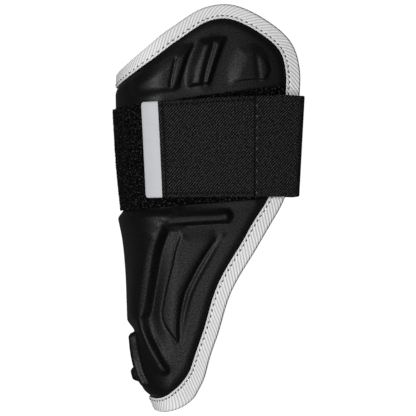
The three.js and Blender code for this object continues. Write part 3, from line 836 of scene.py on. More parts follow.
def strap_end(across):
    """The x of the strap's free end at a share of its width."""
    return lerp(STRAP_LOW.end, STRAP_HIGH.end, across)


def strap_edges(share):
    """Heights of the strap's two long edges at a share of the way from its end to its turn."""
    return (lerp(edge.end_y, edge.turn_y, share) for edge in (STRAP_LOW, STRAP_HIGH))


def strap_cover(points, margin):
    """Whether points of the panel are under the strap or its tab, seen from their own side."""
    x, y, z = np.moveaxis(points, -1, 0)
    middle_end = strap_end(0.5)
    low, high = strap_edges((x - middle_end) / (STRAP_LOW.turn - middle_end))
    near_end = strap_end((y - low) / (high - low)) - TAB_LENGTH
    end = np.where(z > MIDDLE, near_end, STRAP_FAR_END)
    return (x > end - margin) & (y > low - margin) & (y < high + margin)


# Pile. A fibre stands up to its knee and bends over to its tip. Ranges are shares of its usual width or
# height, swirl and stray are how far its heading turns, in radians.
PILE_ROOT_DEPTH = 0.25
PILE_HALF_WIDTH = 0.11
PILE_WIDTHS = (0.7, 1.3)
PILE_HEIGHTS = (0.55, 1.1)
PILE_SWIRL = 2.2
PILE_STRAY = 0.8
KNEE_HEIGHT = 0.65
KNEE_LEANS = (0.1, 0.5)
TIP_RISES = (-0.2, 0.35)
TIP_LEAN = 0.6
HEADING_AXIS = AXIS_X + 0.01


def pile_skin(length, density, seed):
    """Bent fibres that stand on the panel where nothing covers it."""
    source = np.random.default_rng(seed)
    places, back, outward = loop_panel_face()
    area = np.linalg.norm(back[0, -1] - back[-1, -1]) * (places[0, -1, 0] - places[0, 0, 0])
    count = int(area * density)
    row, column = (source.uniform(0, cells - 1, count) for cells in back.shape[:2])
    j, i = row.astype(int), column.astype(int)
    t, s = (row - j)[:, None], (column - i)[:, None]

    def at_roots(grid):
        return lerp(lerp(grid[j, i], grid[j, i + 1], s), lerp(grid[j + 1, i], grid[j + 1, i + 1], s), t)

    root = at_roots(back)
    shown = ~strap_cover(root, length)
    up, place = unit(at_roots(outward))[shown], at_roots(places)[shown]
    count = len(up)
    root = root[shown] + up * (BACKING_THICKNESS - PILE_ROOT_DEPTH)
    swirl = PILE_SWIRL * seeded_waves(place[:, 0], place[:, 1], seed + 1, count=14, longest=14)
    heading = (swirl + source.normal(0, PILE_STRAY, count))[:, None]
    along = unit(np.cross(up, HEADING_AXIS))
    lean = along * np.cos(heading) + np.cross(up, along) * np.sin(heading)

    def spread(limits):
        return source.uniform(*limits, count)[:, None]

    wide = np.cross(lean, up) * PILE_HALF_WIDTH * spread(PILE_WIDTHS)
    tall = length * spread(PILE_HEIGHTS)
    knee = root + up * tall * KNEE_HEIGHT + lean * tall * spread(KNEE_LEANS)
    tip = knee + up * tall * spread(TIP_RISES) + lean * tall * TIP_LEAN
    skin = Skin()
    numbers = skin.add(np.stack([root - wide, root + wide, knee + wide, knee - wide, tip], axis=1))
    cloth = np.repeat(place[:, None], 4, axis=1)
    skin.cells(numbers[:, :4], cloth)
    skin.cells(numbers[:, [3, 2, 4]], cloth[:, :3])
    return skin


# Strap and what is sewn under its free end
Face = namedtuple("Face", "points outward")


def strap_side(x, across):
    """Points of the side view at an x and a share of the strap's width."""
    end = strap_end(across)
    share = (x - end) / (lerp(STRAP_LOW.turn, STRAP_HIGH.turn, across) - end)
    low, high = strap_edges(share)
    full, fading = STRAP_BOW_FULL
    bow = smoothstep(share, 0, full) * lerp(1, STRAP_BOW_KEPT_AT_TURN, smoothstep(share, fading, 1))
    return x, lerp(low, high + STRAP_TOP_BOW * bow, across)


def strap_run(x, across, side, lift):
    """Face of a run of the strap over one flank."""
    places = place_under(*strap_side(x, across)) * np.array([side, 1])
    outward = surface_normal(places)
    return Face(surface_point(places) + outward * lift, outward)


def strap_turn(leave, across, side, lift):
    """Face of the strap's turn off one flank."""
    start, outward = strap_run(leave, across, side, lift)
    first = np.arctan2(outward[..., 0], side * outward[..., 2])
    share = np.arange(1, STRAP_CELLS["turn"] + 1) / STRAP_CELLS["turn"]
    angle = lerp(first, QUARTER_TURN, share)
    direction = np.stack([np.sin(angle), np.zeros_like(angle), side * np.cos(angle)], axis=-1)
    return Face(start - outward * STRAP_TURN_RADIUS + direction * STRAP_TURN_RADIUS, direction)


def strap_face():
    """Outer face of the whole strap, and its cloth distances along and across."""
    radius = STRAP_THICKNESS / 2
    stops = round_stops(STRAP_WIDTH, STRAP_CELLS["across"], radius)
    across = (stops / STRAP_WIDTH)[:, None]
    end = strap_end(across)
    leave = lerp(STRAP_LOW.turn, STRAP_HIGH.turn, across) - STRAP_TURN_RADIUS
    margin = margin_stops(radius)
    near_x = lerp(end + radius, leave, np.linspace(0, 1, STRAP_CELLS["near"] + 1))
    near_x = np.concatenate([end + margin, near_x], axis=1)
    far_x = lerp(leave, STRAP_FAR_END + radius, np.linspace(0, 1, STRAP_CELLS["far"] + 1))
    far_x = np.concatenate([far_x, STRAP_FAR_END + margin[::-1] + 0 * across], axis=1)
    near = strap_run(near_x, across, 1, STRAP_NEAR_TOP)
    turn = strap_turn(leave, across, 1, STRAP_NEAR_TOP)
    far_turn = Face(*(part[:, ::-1] for part in strap_turn(leave, across, -1, STRAP_FAR_TOP)))
    far = strap_run(far_x, across, -1, STRAP_FAR_TOP)
    back_share = np.arange(1, STRAP_CELLS["back"])[:, None] / STRAP_CELLS["back"]
    back = lerp(turn.points[:, -1:], far_turn.points[:, :1], back_share)
    runs = (near, turn, Face(back, np.broadcast_to(AXIS_X, back.shape)), far_turn, far)
    face = Face(*(np.concatenate(parts, axis=1) for parts in zip(*runs)))
    return face, run_lengths(face.points[len(stops) // 2]), stops


# The strap lies a little lower between the hook patch's end and its turn
PATCH_SHOW = 0.3
PATCH_STEP_RUN = 4
PATCH_DIP_END = (84, 90)


def strap_skin():
    skin = Skin()
    face, along, across = strap_face()
    half = STRAP_THICKNESS / 2
    ends = np.minimum(along, along[-1] - along)
    sides = np.minimum(across, across[-1] - across)
    rounding = half * round_height(np.minimum(ends[None], sides[:, None]), half)
    patch_end = TAB_TAIL + HOOK_LENGTH
    dip = smoothstep(along, patch_end, patch_end + PATCH_STEP_RUN) * (1 - smoothstep(along, *PATCH_DIP_END))
    middle = face.points - face.outward * (half + PATCH_SHOW * dip)[:, None]
    skin.closed_sheet(middle, face.outward, rounding, rounding, pairs(along[None], across[:, None]))
    return skin


def add_under_strap(skin, start, end, margin, corner, cells, bevel):
    """Adds a flat piece under the strap's free end, by its ends along the strap and its rounded borders."""
    radius = HOOK_THICKNESS / 2
    stops = round_stops(STRAP_WIDTH - 2 * margin, cells["across"], radius)
    shares = round_stops(end - start, cells["along"], radius) / (end - start)
    sides = np.minimum(stops, stops[-1] - stops)
    lack = np.clip(corner - sides, 0, None)
    trim = corner - np.sqrt(corner * corner - lack * lack)
    across = ((margin + stops) / STRAP_WIDTH)[:, None]
    along = lerp(start + trim[:, None], end, shares[None])
    back = strap_run(strap_end(across) + along, across, 1, HOOK_LIFT)
    border = np.minimum(np.minimum(along - along[:, :1], along[:, -1:] - along), sides[:, None])
    above, below = (radius * round_height(border, rounding) for rounding in (bevel, radius))
    middle = back.points + back.outward * radius
    skin.closed_sheet(middle, back.outward, above, below, pairs(along, stops[:, None]))


TAB_BEVEL = 0.9


def pull_tab_skin():
    skin = Skin()
    add_under_strap(skin, -TAB_LENGTH, TAB_TAIL, 0, TAB_CORNER, TAB_CELLS, TAB_BEVEL)
    return skin


# A hook's rings from its root out: distance below the patch, lean along the strap and half-width
HookRing = namedtuple("HookRing", "drop lean reach")
HOOK_RINGS = (
    HookRing(-0.16, 0, 0.16),
    HookRing(0.33, 0, 0.16),
    HookRing(0.55, 0.16, 0.144),
    HookRing(0.385, 0.384, 0.096),
)


def hook_patch_skin(pitch):
    skin = Skin()
    start, end = TAB_TAIL + GAP, TAB_TAIL + HOOK_LENGTH
    add_under_strap(skin, start, end, HOOK_MARGIN, HOOK_CORNER, HOOK_CELLS, HOOK_THICKNESS / 2)
    stems = np.arange(start + pitch, end - pitch, pitch)
    rows = np.arange(HOOK_MARGIN + pitch, STRAP_WIDTH - HOOK_MARGIN - pitch, pitch) / STRAP_WIDTH
    across, along = (grid.ravel() for grid in np.meshgrid(rows, stems, indexing="ij"))
    foot, up = strap_run(strap_end(across) + along, across, 1, HOOK_LIFT)
    heading = square_to(AXIS_X, up)
    side = np.cross(up, heading)
    rings = []
    for drop, lean, reach in HOOK_RINGS:
        centre = foot - up * drop + heading * lean
        corners = (centre - side * reach, centre + heading * reach, centre + side * reach)
        rings.append(np.stack(corners, axis=1))
    skin.tubes(np.stack(rings, axis=1))
    return skin


# Stitches. Thinning is the share by which a thread's section shrinks to its ends.
THREAD_SIDES = 6
THREAD_STATIONS = 5
THREAD_THINNING = 0.75


def stitch_skin(rows, length, radius, sink):
    """Threads that arch over the cloth, one at each point of each row."""
    skin = Skin()
    t = np.linspace(-1, 1, THREAD_STATIONS)[:, None, None]
    angle = (np.arange(THREAD_SIDES) / THREAD_SIDES * FULL_TURN)[:, None]
    thick = radius * np.sqrt(1 - THREAD_THINNING * t * t)
    for row in rows:
        outward = row.outward[:, None, None]
        heading = square_to(np.gradient(row.points, axis=0), row.outward)[:, None, None]
        ring = np.cross(outward, heading) * np.cos(angle) + outward * np.sin(angle)
        arch = heading * t * length / 2 + outward * (radius * (1 - t * t) - sink)
        numbers = skin.tubes(row.points[:, None, None] + arch + ring * thick, flip=True)
        skin.cells(numbers[:, 0])
        skin.cells(numbers[:, -1, ::-1])
    return skin


def binding_stitch_rows(pitch):
    """The line of stitches along the tape, on its outer and its inner face."""
    count = round(EDGE_LENGTH / pitch)
    rim = rim_at(np.arange(count) / count)
    line = rim.seam - rim.inward * (GAP + STITCH_INSET)
    return (
        Face(line + rim.outward * (TAPE_TOP - STITCH_GROOVE_DEPTH), rim.outward),
        Face(line + rim.outward * (TAPE_BOTTOM + STITCH_GROOVE_DEPTH), -rim.outward),
    )


# Seams of the strap. The far one is pressed into the elastic, since the guard lies on it.
TAB_SEAM = 3.1
SEAM_MARGIN = 2.6
# Half-width of the painted shade along the near seams
SEAM_SHADE_WIDTH = 0.9
PATCH_SEAM_X = 30.8
FAR_SEAM_SINK = 0.45


def strap_row(along, across, side):
    """Row of stitches on the strap's face, by distances from its end and its lower edge."""
    along, share = np.broadcast_arrays(along, across / STRAP_WIDTH)
    if side > 0:
        return strap_run(strap_end(share) + along, share, side, STRAP_NEAR_TOP)
    return strap_run(STRAP_FAR_END + along, share, side, STRAP_FAR_TOP - FAR_SEAM_SINK)


def strap_stitch_rows(pitch):
    """Stitch lines round the hook patch, and two across the strap's sewn far end."""
    columns = np.arange(SEAM_MARGIN, STRAP_WIDTH - SEAM_MARGIN + pitch / 2, pitch)
    patch_end = PATCH_SEAM_X - strap_end(columns / STRAP_WIDTH)
    lengths = np.arange(TAB_SEAM + pitch, patch_end.min() - pitch / 2, pitch)
    dark = [
        strap_row(TAB_SEAM, columns, 1),
        strap_row(lengths, SEAM_MARGIN, 1),
        strap_row(lengths, STRAP_WIDTH - SEAM_MARGIN, 1),
        strap_row(SEAM_MARGIN, columns, -1),
        strap_row(2 * SEAM_MARGIN, columns, -1),
        strap_row(patch_end[1::2], columns[1::2], 1),
    ]
    return dark, [strap_row(patch_end[::2], columns[::2], 1)]


# Shader nodes
def connect(tree, value, socket):
    """Links another node's output to a socket, or sets a plain value on it."""
    if isinstance(value, bpy.types.NodeSocket):
        tree.links.new(value, socket)
    else:
        socket.default_value = value


def math_node(tree, operation, *values):
    node = tree.nodes.new("ShaderNodeMath")
    node.operation = operation
    for value, socket in zip(values, node.inputs):
        connect(tree, value, socket)
    return node.outputs[0]


# Sockets of a mix node for colours: its share, first and second, and its result
MIX_INPUTS = (0, 6, 7)
MIX_OUTPUT = 2


def mix_colours(tree, share, first, second):
    node = tree.nodes.new("ShaderNodeMix")
    node.data_type = "RGBA"
    for value, socket in zip((share, first, second), MIX_INPUTS):
        connect(tree, value, node.inputs[socket])
    return node.outputs[MIX_OUTPUT]


def scaled_range(tree, value, low, high, start=0.0, end=1.0):
    """A value between start and end, scaled to the range from low to high."""
    node = tree.nodes.new("ShaderNodeMapRange")
    sockets = {"Value": value, "From Min": start, "From Max": end, "To Min": low, "To Max": high}
    for name, setting in sockets.items():
        connect(tree, setting, node.inputs[name])
    return node.outputs["Result"]


def cloth_place(tree):
    node = tree.nodes.new("ShaderNodeUVMap")
    node.uv_map = CLOTH_MAP
    return node.outputs["UV"]


def split_place(tree, cloth):
    node = tree.nodes.new("ShaderNodeSeparateXYZ")
    tree.links.new(cloth, node.inputs[0])
    return node.outputs["X"], node.outputs["Y"]


def noise(tree, place, scale, detail):
    node = tree.nodes.new("ShaderNodeTexNoise")
    for name, value in {"Vector": place, "Scale": scale, "Detail": detail}.items():
        connect(tree, value, node.inputs[name])
    return node.outputs["Fac"]


def grouped(tree, name, fill, **values):
    """Outputs of a shared node group. Its fill function makes them from its inputs, the first time."""
    if name not in bpy.data.node_groups:
        group = bpy.data.node_groups.new(name, "ShaderNodeTree")
        for socket in values:
            kind = "NodeSocketVector" if socket == "Cloth" else "NodeSocketFloat"
            group.interface.new_socket(socket, in_out="INPUT", socket_type=kind)
        results = fill(group, group.nodes.new("NodeGroupInput").outputs)
        for socket in results:
            group.interface.new_socket(socket, in_out="OUTPUT", socket_type="NodeSocketFloat")
        end = group.nodes.new("NodeGroupOutput")
        for socket, value in results.items():
            group.links.new(value, end.inputs[socket])
    node = tree.nodes.new("ShaderNodeGroup")
    node.node_tree = bpy.data.node_groups[name]
    for socket, value in values.items():
        connect(tree, value, node.inputs[socket])
    return node.outputs


LEAST_RIB_HEIGHT = 0.7


def fill_twill(tree, given):
    def calc(operation, *values):
        return math_node(tree, operation, *values)

    def wave(turns):
        return calc("MULTIPLY_ADD", calc("COSINE", calc("MULTIPLY", turns, FULL_TURN)), 0.5, 0.5)

    sine, cosine = calc("SINE", given["Angle"]), calc("COSINE", given["Angle"])
    u, v = split_place(tree, given["Cloth"])
    over = calc("ADD", calc("MULTIPLY", u, sine), calc("MULTIPLY", v, cosine))
    along = calc("SUBTRACT", calc("MULTIPLY", v, sine), calc("MULTIPLY", u, cosine))
    turns = calc("DIVIDE", over, given["Pitch"])
    offset = calc("MULTIPLY", calc("FLOOR", turns), 0.5)
    thread = wave(calc("ADD", calc("DIVIDE", along, given["Thread"]), offset))
    height = calc("MULTIPLY", wave(turns), scaled_range(tree, thread, LEAST_RIB_HEIGHT, 1))
    return {"Height": height, "Thread": thread}


def twill(tree, pitch, angle, thread):
    """Slanting ribs of a weave, crossed by its threads. Pitch and thread are millimetres, angle radians."""
    values = {"Cloth": cloth_place(tree), "Pitch": pitch, "Angle": angle, "Thread": thread}
    return grouped(tree, "Twill weave", fill_twill, **values)


def fill_fuzz(tree, given):
    def spots(size, detail):
        return noise(tree, given["Cloth"], math_node(tree, "DIVIDE", 1.0, given[size]), detail)

    return {"Patches": spots("Patch", 2), "Grain": spots("Grain", 1)}


def fuzz(tree, patch, grain):
    """Uneven nap of a cloth: broad patches and fine grain, by their sizes in millimetres."""
    return grouped(tree, "Cloth fuzz", fill_fuzz, Cloth=cloth_place(tree), Patch=patch, Grain=grain)


def fill_seam(tree, given):
    """Painted shade of a seam where Place is Start plus Slant times Other. It fades over Width to each side.
    """
    line = math_node(tree, "MULTIPLY_ADD", given["Other"], given["Slant"], given["Start"])
    away = math_node(tree, "ABSOLUTE", math_node(tree, "SUBTRACT", given["Place"], line))
    return {"Shade": scaled_range(tree, math_node(tree, "DIVIDE", away, given["Width"]), 1, 0)}


def new_material(name, specular, sheen=0.0, tint=(1, 1, 1)):
    material = bpy.data.materials.new(name)
    material.use_nodes = True
    tree = material.node_tree
    shader = next(node for node in tree.nodes if node.type == "BSDF_PRINCIPLED")
    shader.inputs["Specular IOR Level"].default_value = specular
    shader.inputs["Sheen Weight"].default_value = sheen
    shader.inputs["Sheen Tint"].default_value = (*tint, 1)
    return material, tree, shader


def shade(colour, share):
    """A lighter or darker colour, as a shader socket takes it."""
    return (*(min(1, part * share) for part in colour), 1)


def tones(tree, share, colour, dark, pale):
    """Colours between a darker and a paler shade of one."""
    return mix_colours(tree, share, shade(colour, dark), shade(colour, pale))


def dress(tree, shader, colour, roughness, height, depth):
    """Links what varies over a material: its colour, its roughness and its relief, depth millimetres high."""
    node = tree.nodes.new("ShaderNodeBump")
    node.inputs["Distance"].default_value = depth * MM
    tree.links.new(height, node.inputs["Height"])
    links = {"Base Color": colour, "Roughness": roughness, "Normal": node.outputs["Normal"]}
    for name, value in links.items():
        tree.links.new(value, shader.inputs[name])


# Materials
def pad_fabric(settings):
    """Black brushed knit, pressed over the foam. Its coat is the shine of the pressed nap."""
    grain_share, knit_share = 0.7, 0.08
    material, tree, shader = new_material("pad_fabric", specular=0.08, sheen=0.01, tint=(0.9, 0.93, 1))
    shader.inputs["Sheen Roughness"].default_value = 0.4
    shader.inputs["Coat Roughness"].default_value = 0.44
    nap = fuzz(tree, patch=9.0, grain=0.9)
    knit = twill(tree, settings.knit_pitch / MM, QUARTER_TURN, thread=0.45)
    patches = math_node(tree, "MULTIPLY", nap["Patches"], 1 - grain_share)
    tone = math_node(tree, "MULTIPLY_ADD", nap["Grain"], grain_share, patches)
    colour = tones(tree, tone, settings.colour, dark=0.3, pale=1.8)
    coat = scaled_range(tree, nap["Grain"], low=0, high=0.4, start=0.3, end=0.7)
    tree.links.new(coat, shader.inputs["Coat Weight"])
    roughness = scaled_range(tree, nap["Patches"], low=0.4, high=0.5)
    height = math_node(tree, "MULTIPLY_ADD", knit["Height"], knit_share, nap["Grain"])
    dress(tree, shader, colour, roughness, height, depth=0.17)
    return material


def binding_tape(settings):
    """White twill tape, with painted shade making it grey between its ribs."""
    grain_share = 0.15
    material, tree, shader = new_material("binding_tape", specular=0.2, sheen=0.1)
    weave = twill(tree, settings.twill_pitch / MM, settings.twill_angle, thread=0.9)
    nap = fuzz(tree, patch=14.0, grain=0.7)
    # Darker where the weave is low: painted shade between the ribs.
    colour = tones(tree, weave["Height"], settings.colour, dark=0.55, pale=1.22)
    worn = scaled_range(tree, nap["Patches"], low=0, high=0.35)
    colour = mix_colours(tree, worn, colour, shade(settings.colour, 0.9))
    roughness = scaled_range(tree, weave["Height"], low=0.95, high=0.75)
    height = math_node(tree, "MULTIPLY_ADD", nap["Grain"], grain_share, weave["Height"])
    dress(tree, shader, colour, roughness, height, depth=0.3)
    return material


def loop_plush(settings):
    """Black brushed loops, matted into small tufts, whose tops carry a painted highlight."""
    material, tree, shader = new_material("loop_plush", specular=0.06, sheen=0.02, tint=(0.9, 0.9, 0.95))
    shader.inputs["Sheen Roughness"].default_value = 0.4
    nap = fuzz(tree, patch=3.0, grain=1.2)
    tuft_and_highlight = scaled_range(tree, nap["Grain"], low=0, high=1, start=0.56, end=0.68)
    # The raised tufts are painted many times paler: a painted highlight on the fibres.
    colour = tones(tree, tuft_and_highlight, settings.colour, dark=0.1, pale=18)
    dress(tree, shader, colour, scaled_range(tree, nap["Grain"], low=0.8, high=1), tuft_and_highlight, depth=0.9)
    return material


def hook_tape(settings):
    """Black nylon hook tape."""
    material, tree, shader = new_material("hook_tape", specular=0.4)
    weave = twill(tree, pitch=0.8, angle=0.0, thread=1.6)
    # Darker where the weave is low: painted shade between the ribs.
    colour = tones(tree, weave["Height"], settings.colour, dark=0.6, pale=1.4)
    roughness = scaled_range(tree, weave["Thread"], low=0.45, high=0.65)
    dress(tree, shader, colour, roughness, weave["Height"], depth=0.15)
    return material


def painted_seam_shade(tree):
    """Painted shade along the seams at the strap's near end, standing in for the shade in their dents. Its
    cloth is measured along its middle.
    """
    along, across = split_place(tree, cloth_place(tree))
    edges = (STRAP_LOW, STRAP_HIGH)
    runs = [edge.turn - STRAP_TURN_RADIUS - edge.end for edge in edges]
    seams = [(PATCH_SEAM_X - edge.end) / run * sum(runs) / 2 for edge, run in zip(edges, runs)]
    slant = (seams[1] - seams[0]) / STRAP_WIDTH
    before_patch_end = math_node(tree, "LESS_THAN", along, sum(seams) / 2)
    total = 0.0
    for place, other, start, lean, limit in (
        (along, across, TAB_SEAM, 0.0, 1.0),
        (along, across, seams[0], slant, 1.0),
        (across, along, SEAM_MARGIN, 0.0, before_patch_end),
        (across, along, STRAP_WIDTH - SEAM_MARGIN, 0.0, before_patch_end),
    ):
        values = {"Place": place, "Other": other, "Start": start, "Slant": lean, "Width": SEAM_SHADE_WIDTH}
        seam_shade = grouped(tree, "Painted seam shade", fill_seam, **values)["Shade"]
        total = math_node(tree, "MAXIMUM", total, math_node(tree, "MULTIPLY", seam_shade, limit))
    return total


def elastic(settings):
    """Black elastic, woven in slanting ribs, with a painted highlight on the picks and painted shade between
    them.
    """
    contrast = 1.5
    material, tree, shader = new_material("elastic", specular=0.05, sheen=0.01)
    shader.inputs["Sheen Roughness"].default_value = 0.4
    weave = twill(tree, settings.twill_pitch / MM, settings.twill_angle, thread=1.1)
    nap = fuzz(tree, patch=7.0, grain=0.8)
    strength = scaled_range(tree, nap["Grain"], low=0, high=1.6, start=0.3, end=0.7)
    pick_and_highlight = math_node(tree, "MULTIPLY", weave["Height"], strength)
    # Pale where the ribs stand high and near black between them: painted highlight and painted shade.
    colour = tones(tree, math_node(tree, "POWER", pick_and_highlight, contrast), settings.colour, dark=0.06, pale=4.8)
    # Near black along the seams: painted shade where the stitches dent the elastic.
    colour = mix_colours(tree, painted_seam_shade(tree), colour, shade(settings.colour, 0.08))
    dress(tree, shader, colour, scaled_range(tree, pick_and_highlight, low=0.85, high=0.6), pick_and_highlight, depth=0.2)
    return material


def tab_rubber(settings):
    """Pale grey moulded rubber with a fine matte grain."""
    material, tree, shader = new_material("tab_rubber", specular=0.4)
    nap = fuzz(tree, patch=8.0, grain=0.25)
    colour = tones(tree, nap["Patches"], settings.colour, dark=0.93, pale=1.05)
    dress(tree, shader, colour, scaled_range(tree, nap["Grain"], low=0.4, high=0.6), nap["Grain"], depth=0.04)
    return material


def sewing_thread(name, colour):
    """Twisted sewing thread."""
    material, tree, shader = new_material(name, specular=0.3)
    place = tree.nodes.new("ShaderNodeTexCoord").outputs["Object"]
    grain = noise(tree, place, scale=2500.0, detail=2)
    roughness = scaled_range(tree, grain, low=0.5, high=0.75)
    dress(tree, shader, tones(tree, grain, colour, dark=0.6, pale=1.4), roughness, grain, depth=0.05)
    return material


# Settings
def colour_setting(name, description, default):
    return FloatVectorProperty(
        name=name, description=description, subtype="COLOR", default=default, min=0, max=1
    )


def number_setting(name, description, default, low, high, **kind):
    return FloatProperty(name=name, description=description, default=default, min=low, max=high, **kind)


def length_setting(name, description, default, low, high):
    """A length, whose default and limits are given in millimetres."""
    return number_setting(name, description, default * MM, low * MM, high * MM, unit="LENGTH")


def angle_setting(name, description, degrees):
    return number_setting(name, description, math.radians(degrees), 0, math.pi, subtype="ANGLE")


class PadSettings(PropertyGroup):
    colour: colour_setting("Fabric colour", "Middle colour of the pad's knit", (0.003, 0.0029, 0.0034))
    relief: number_setting(
        "Relief", "Share of the full height of the pressed blocks", 1, 0, 1, subtype="FACTOR"
    )
    knit_pitch: length_setting("Knit pitch", "Distance between the columns of the knit", 0.5, 0.2, 5)


class TapeSettings(PropertyGroup):
    colour: colour_setting("Tape colour", "Colour of the tape's ribs", (0.845, 0.835, 0.845))
    # The tape's stitches are near black: painted shade of their needle holes.
    thread_colour: colour_setting(
        "Thread colour", "Colour of the stitches in the tape", (0.025, 0.025, 0.028)
    )
    twill_pitch: length_setting("Twill pitch", "Distance between the tape's slanting ribs", 1.9, 0.5, 6)
    twill_angle: angle_setting("Twill angle", "Slant of the ribs to the tape's length", 38)
    stitch_pitch: length_setting("Stitch pitch", "Distance from one stitch to the next", 4, 1, 10)
    stitch_length: length_setting("Stitch length", "Length of thread that shows in one stitch", 1.9, 0.5, 8)


class PanelSettings(PropertyGroup):
    colour: colour_setting("Plush colour", "Middle colour of the loop panel", (0.0022, 0.0022, 0.0022))
    pile_length: length_setting("Pile length", "Length of the plush fibres", 1.1, 0.3, 3)
    pile_density: number_setting("Pile density", "Fibres on each square millimetre", 3.2, 0.2, 6)
    seed: IntProperty(name="Seed", description="Seed of the fibres' places", default=11, min=0)


class HookSettings(PropertyGroup):
    colour: colour_setting("Hook colour", "Colour of the hook patch", (0.01, 0.01, 0.01))
    pitch: length_setting("Hook pitch", "Distance between the hooks", 1.9, 1, 6)


class StrapSettings(PropertyGroup):
    colour: colour_setting("Elastic colour", "Middle colour of the strap", (0.0125, 0.0118, 0.0118))
    thread_colour: colour_setting(
        "Thread colour", "Colour of the strap's own stitches", (0.004, 0.0045, 0.006)
    )
    pale_thread_colour: colour_setting(
        "Pale thread colour", "Colour of the stitches at the patch's inner end", (0.065, 0.072, 0.092)
    )
    twill_pitch: length_setting("Twill pitch", "Distance between the strap's slanting ribs", 1.37, 0.5, 6)
    twill_angle: angle_setting("Twill angle", "Slant of the ribs to the strap's length", 133)
    stitch_pitch: length_setting("Stitch pitch", "Distance from one stitch to the next", 3.3, 1, 10)


class TabSettings(PropertyGroup):
    colour: colour_setting("Tab colour", "Colour of the rubber tab", (0.46, 0.465, 0.485))


class StageSettings(PropertyGroup):
    floor_colour: colour_setting("Floor colour", "Colour of the pale floor", (0.08, 0.08, 0.08))
    floor_glow: number_setting("Floor glow", "Light of the floor as the camera sees it", 1, 0, 2)
    key_power: number_setting(
        "Key light", "Power of the soft light from the left", 16.5, 0, 200, unit="POWER"
    )
    fill_power: number_setting(
        "Fill light", "Power of the soft light from the lower left", 6.8, 0, 200, unit="POWER"
    )
    sky_strength: number_setting("Room light", "Strength of the even light from all round", 0.06, 0, 3)


class GuardSettings(PropertyGroup):
    pad: PointerProperty(type=PadSettings)
    tape: PointerProperty(type=TapeSettings)
    panel: PointerProperty(type=PanelSettings)
    hook: PointerProperty(type=HookSettings)
    strap: PointerProperty(type=StrapSettings)
    tab: PointerProperty(type=TabSettings)
    stage: PointerProperty(type=StageSettings)


# Operators
class GUARD_OT_stage(Operator):
    """Make the camera of the photograph, the pale floor and the lights"""

    bl_idname = "elbow_guard.stage"
    bl_label = "Stage"

    camera_reach = 100
    floor_size = 8
    floor_drop = 0.2 * MM
    floor_roughness = 0.9
    lamp_aim = Vector((0, -0.03, 0.09))
    lamp_size = 0.5
    key_offset = Vector((-0.71, 0.18, 1.3))
    fill_offset = Vector((-0.24, -0.58, 1.2))

    def execute(self, context):
        settings = context.scene.elbow_guard.stage
        context.scene.view_settings.view_transform = "Standard"
        self.add_camera(context)
        self.add_floor(context, settings)
        self.add_lights(context, settings)
        return {"FINISHED"}

    def add_camera(self, context):
        camera = bpy.data.cameras.new("camera")
        camera.sensor_width = SENSOR_WIDTH
        camera.lens = SENSOR_WIDTH * CAMERA_DISTANCE / (PHOTO_PIXELS * PIXEL_SIZE)
        camera.clip_end = self.camera_reach
        holder = bpy.data.objects.new("camera", camera)
        holder.location = (0, 0, (CAMERA_DISTANCE + FLANK_HEIGHT) * MM)
        context.scene.collection.objects.link(holder)
        context.scene.camera = holder

    def add_floor(self, context, settings):
        half = self.floor_size / 2
        spots = ((-half, -half), (half, -half), (half, half), (-half, half))
        corners = [(x, y, -self.floor_drop) for x, y in spots]
        mesh = bpy.data.meshes.new("floor")
        mesh.from_pydata(corners, [], [(0, 1, 2, 3)])
        material, tree, shader = new_material("floor", specular=0.1)
        shader.inputs["Roughness"].default_value = self.floor_roughness
        shader.inputs["Base Color"].default_value = (*settings.floor_colour, 1)
        shader.inputs["Emission Color"].default_value = (1, 1, 1, 1)
        seen = tree.nodes.new("ShaderNodeLightPath").outputs["Is Camera Ray"]
        glow = math_node(tree, "MULTIPLY", seen, settings.floor_glow)
        tree.links.new(glow, shader.inputs["Emission Strength"])
        mesh.materials.append(material)
        floor = bpy.data.objects.new("floor", mesh)
        context.scene.collection.objects.link(floor)

    def add_lights(self, context, settings):
        for name, offset, power in (
            ("key", self.key_offset, settings.key_power),
            ("fill", self.fill_offset, settings.fill_power),
        ):
            lamp = bpy.data.lights.new(name, "AREA")
            lamp.energy = power
            lamp.size = self.lamp_size
            holder = bpy.data.objects.new(name, lamp)
            holder.location = self.lamp_aim + offset
            holder.rotation_euler = (-offset).to_track_quat("-Z", "Y").to_euler()
            context.scene.collection.objects.link(holder)
        world = bpy.data.worlds.new("room")
        world.use_nodes = True
        tree = world.node_tree
        background = next(node for node in tree.nodes if node.type == "BACKGROUND")
        background.inputs["Color"].default_value = (1, 1, 1, 1)
        seen = tree.nodes.new("ShaderNodeLightPath").outputs["Is Camera Ray"]
        tree.links.new(scaled_range(tree, seen, settings.sky_strength, 1), background.inputs["Strength"])
        context.scene.world = world


class GUARD_OT_moulded_pad(Operator):
    """Make the foam pad under its fabric, with its pressed blocks, ribs and creases"""

    bl_idname = "elbow_guard.moulded_pad"
    bl_label = "Moulded pad"

    def execute(self, context):
        settings = context.scene.elbow_guard.pad
        piece = moulded_pad_skin(settings.relief).build("pad_cover", pad_fabric(settings))
        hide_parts("moulded_pad")
        return {"FINISHED"}


class GUARD_OT_edge_binding(Operator):
    """Make the twill tape folded over the pad's free edge, and its stitches"""

    bl_idname = "elbow_guard.edge_binding"
    bl_label = "Edge binding"

    thread_radius = 0.36
    thread_sink = 0.05

    def execute(self, context):
        settings = context.scene.elbow_guard.tape
        tape = edge_binding_skin().build("binding_tape", binding_tape(settings))
        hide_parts("edge_binding")
        # The stitches on the tape are near-black dashes: painted shade of the needle holes where the pale
        # thread sinks into the tape.
        rows = binding_stitch_rows(settings.stitch_pitch / MM)
        skin = stitch_skin(rows, settings.stitch_length / MM, self.thread_radius, self.thread_sink)
        stitches = skin.build("binding_stitches", sewing_thread("binding_stitch_shade", settings.thread_colour))
        return {"FINISHED"}


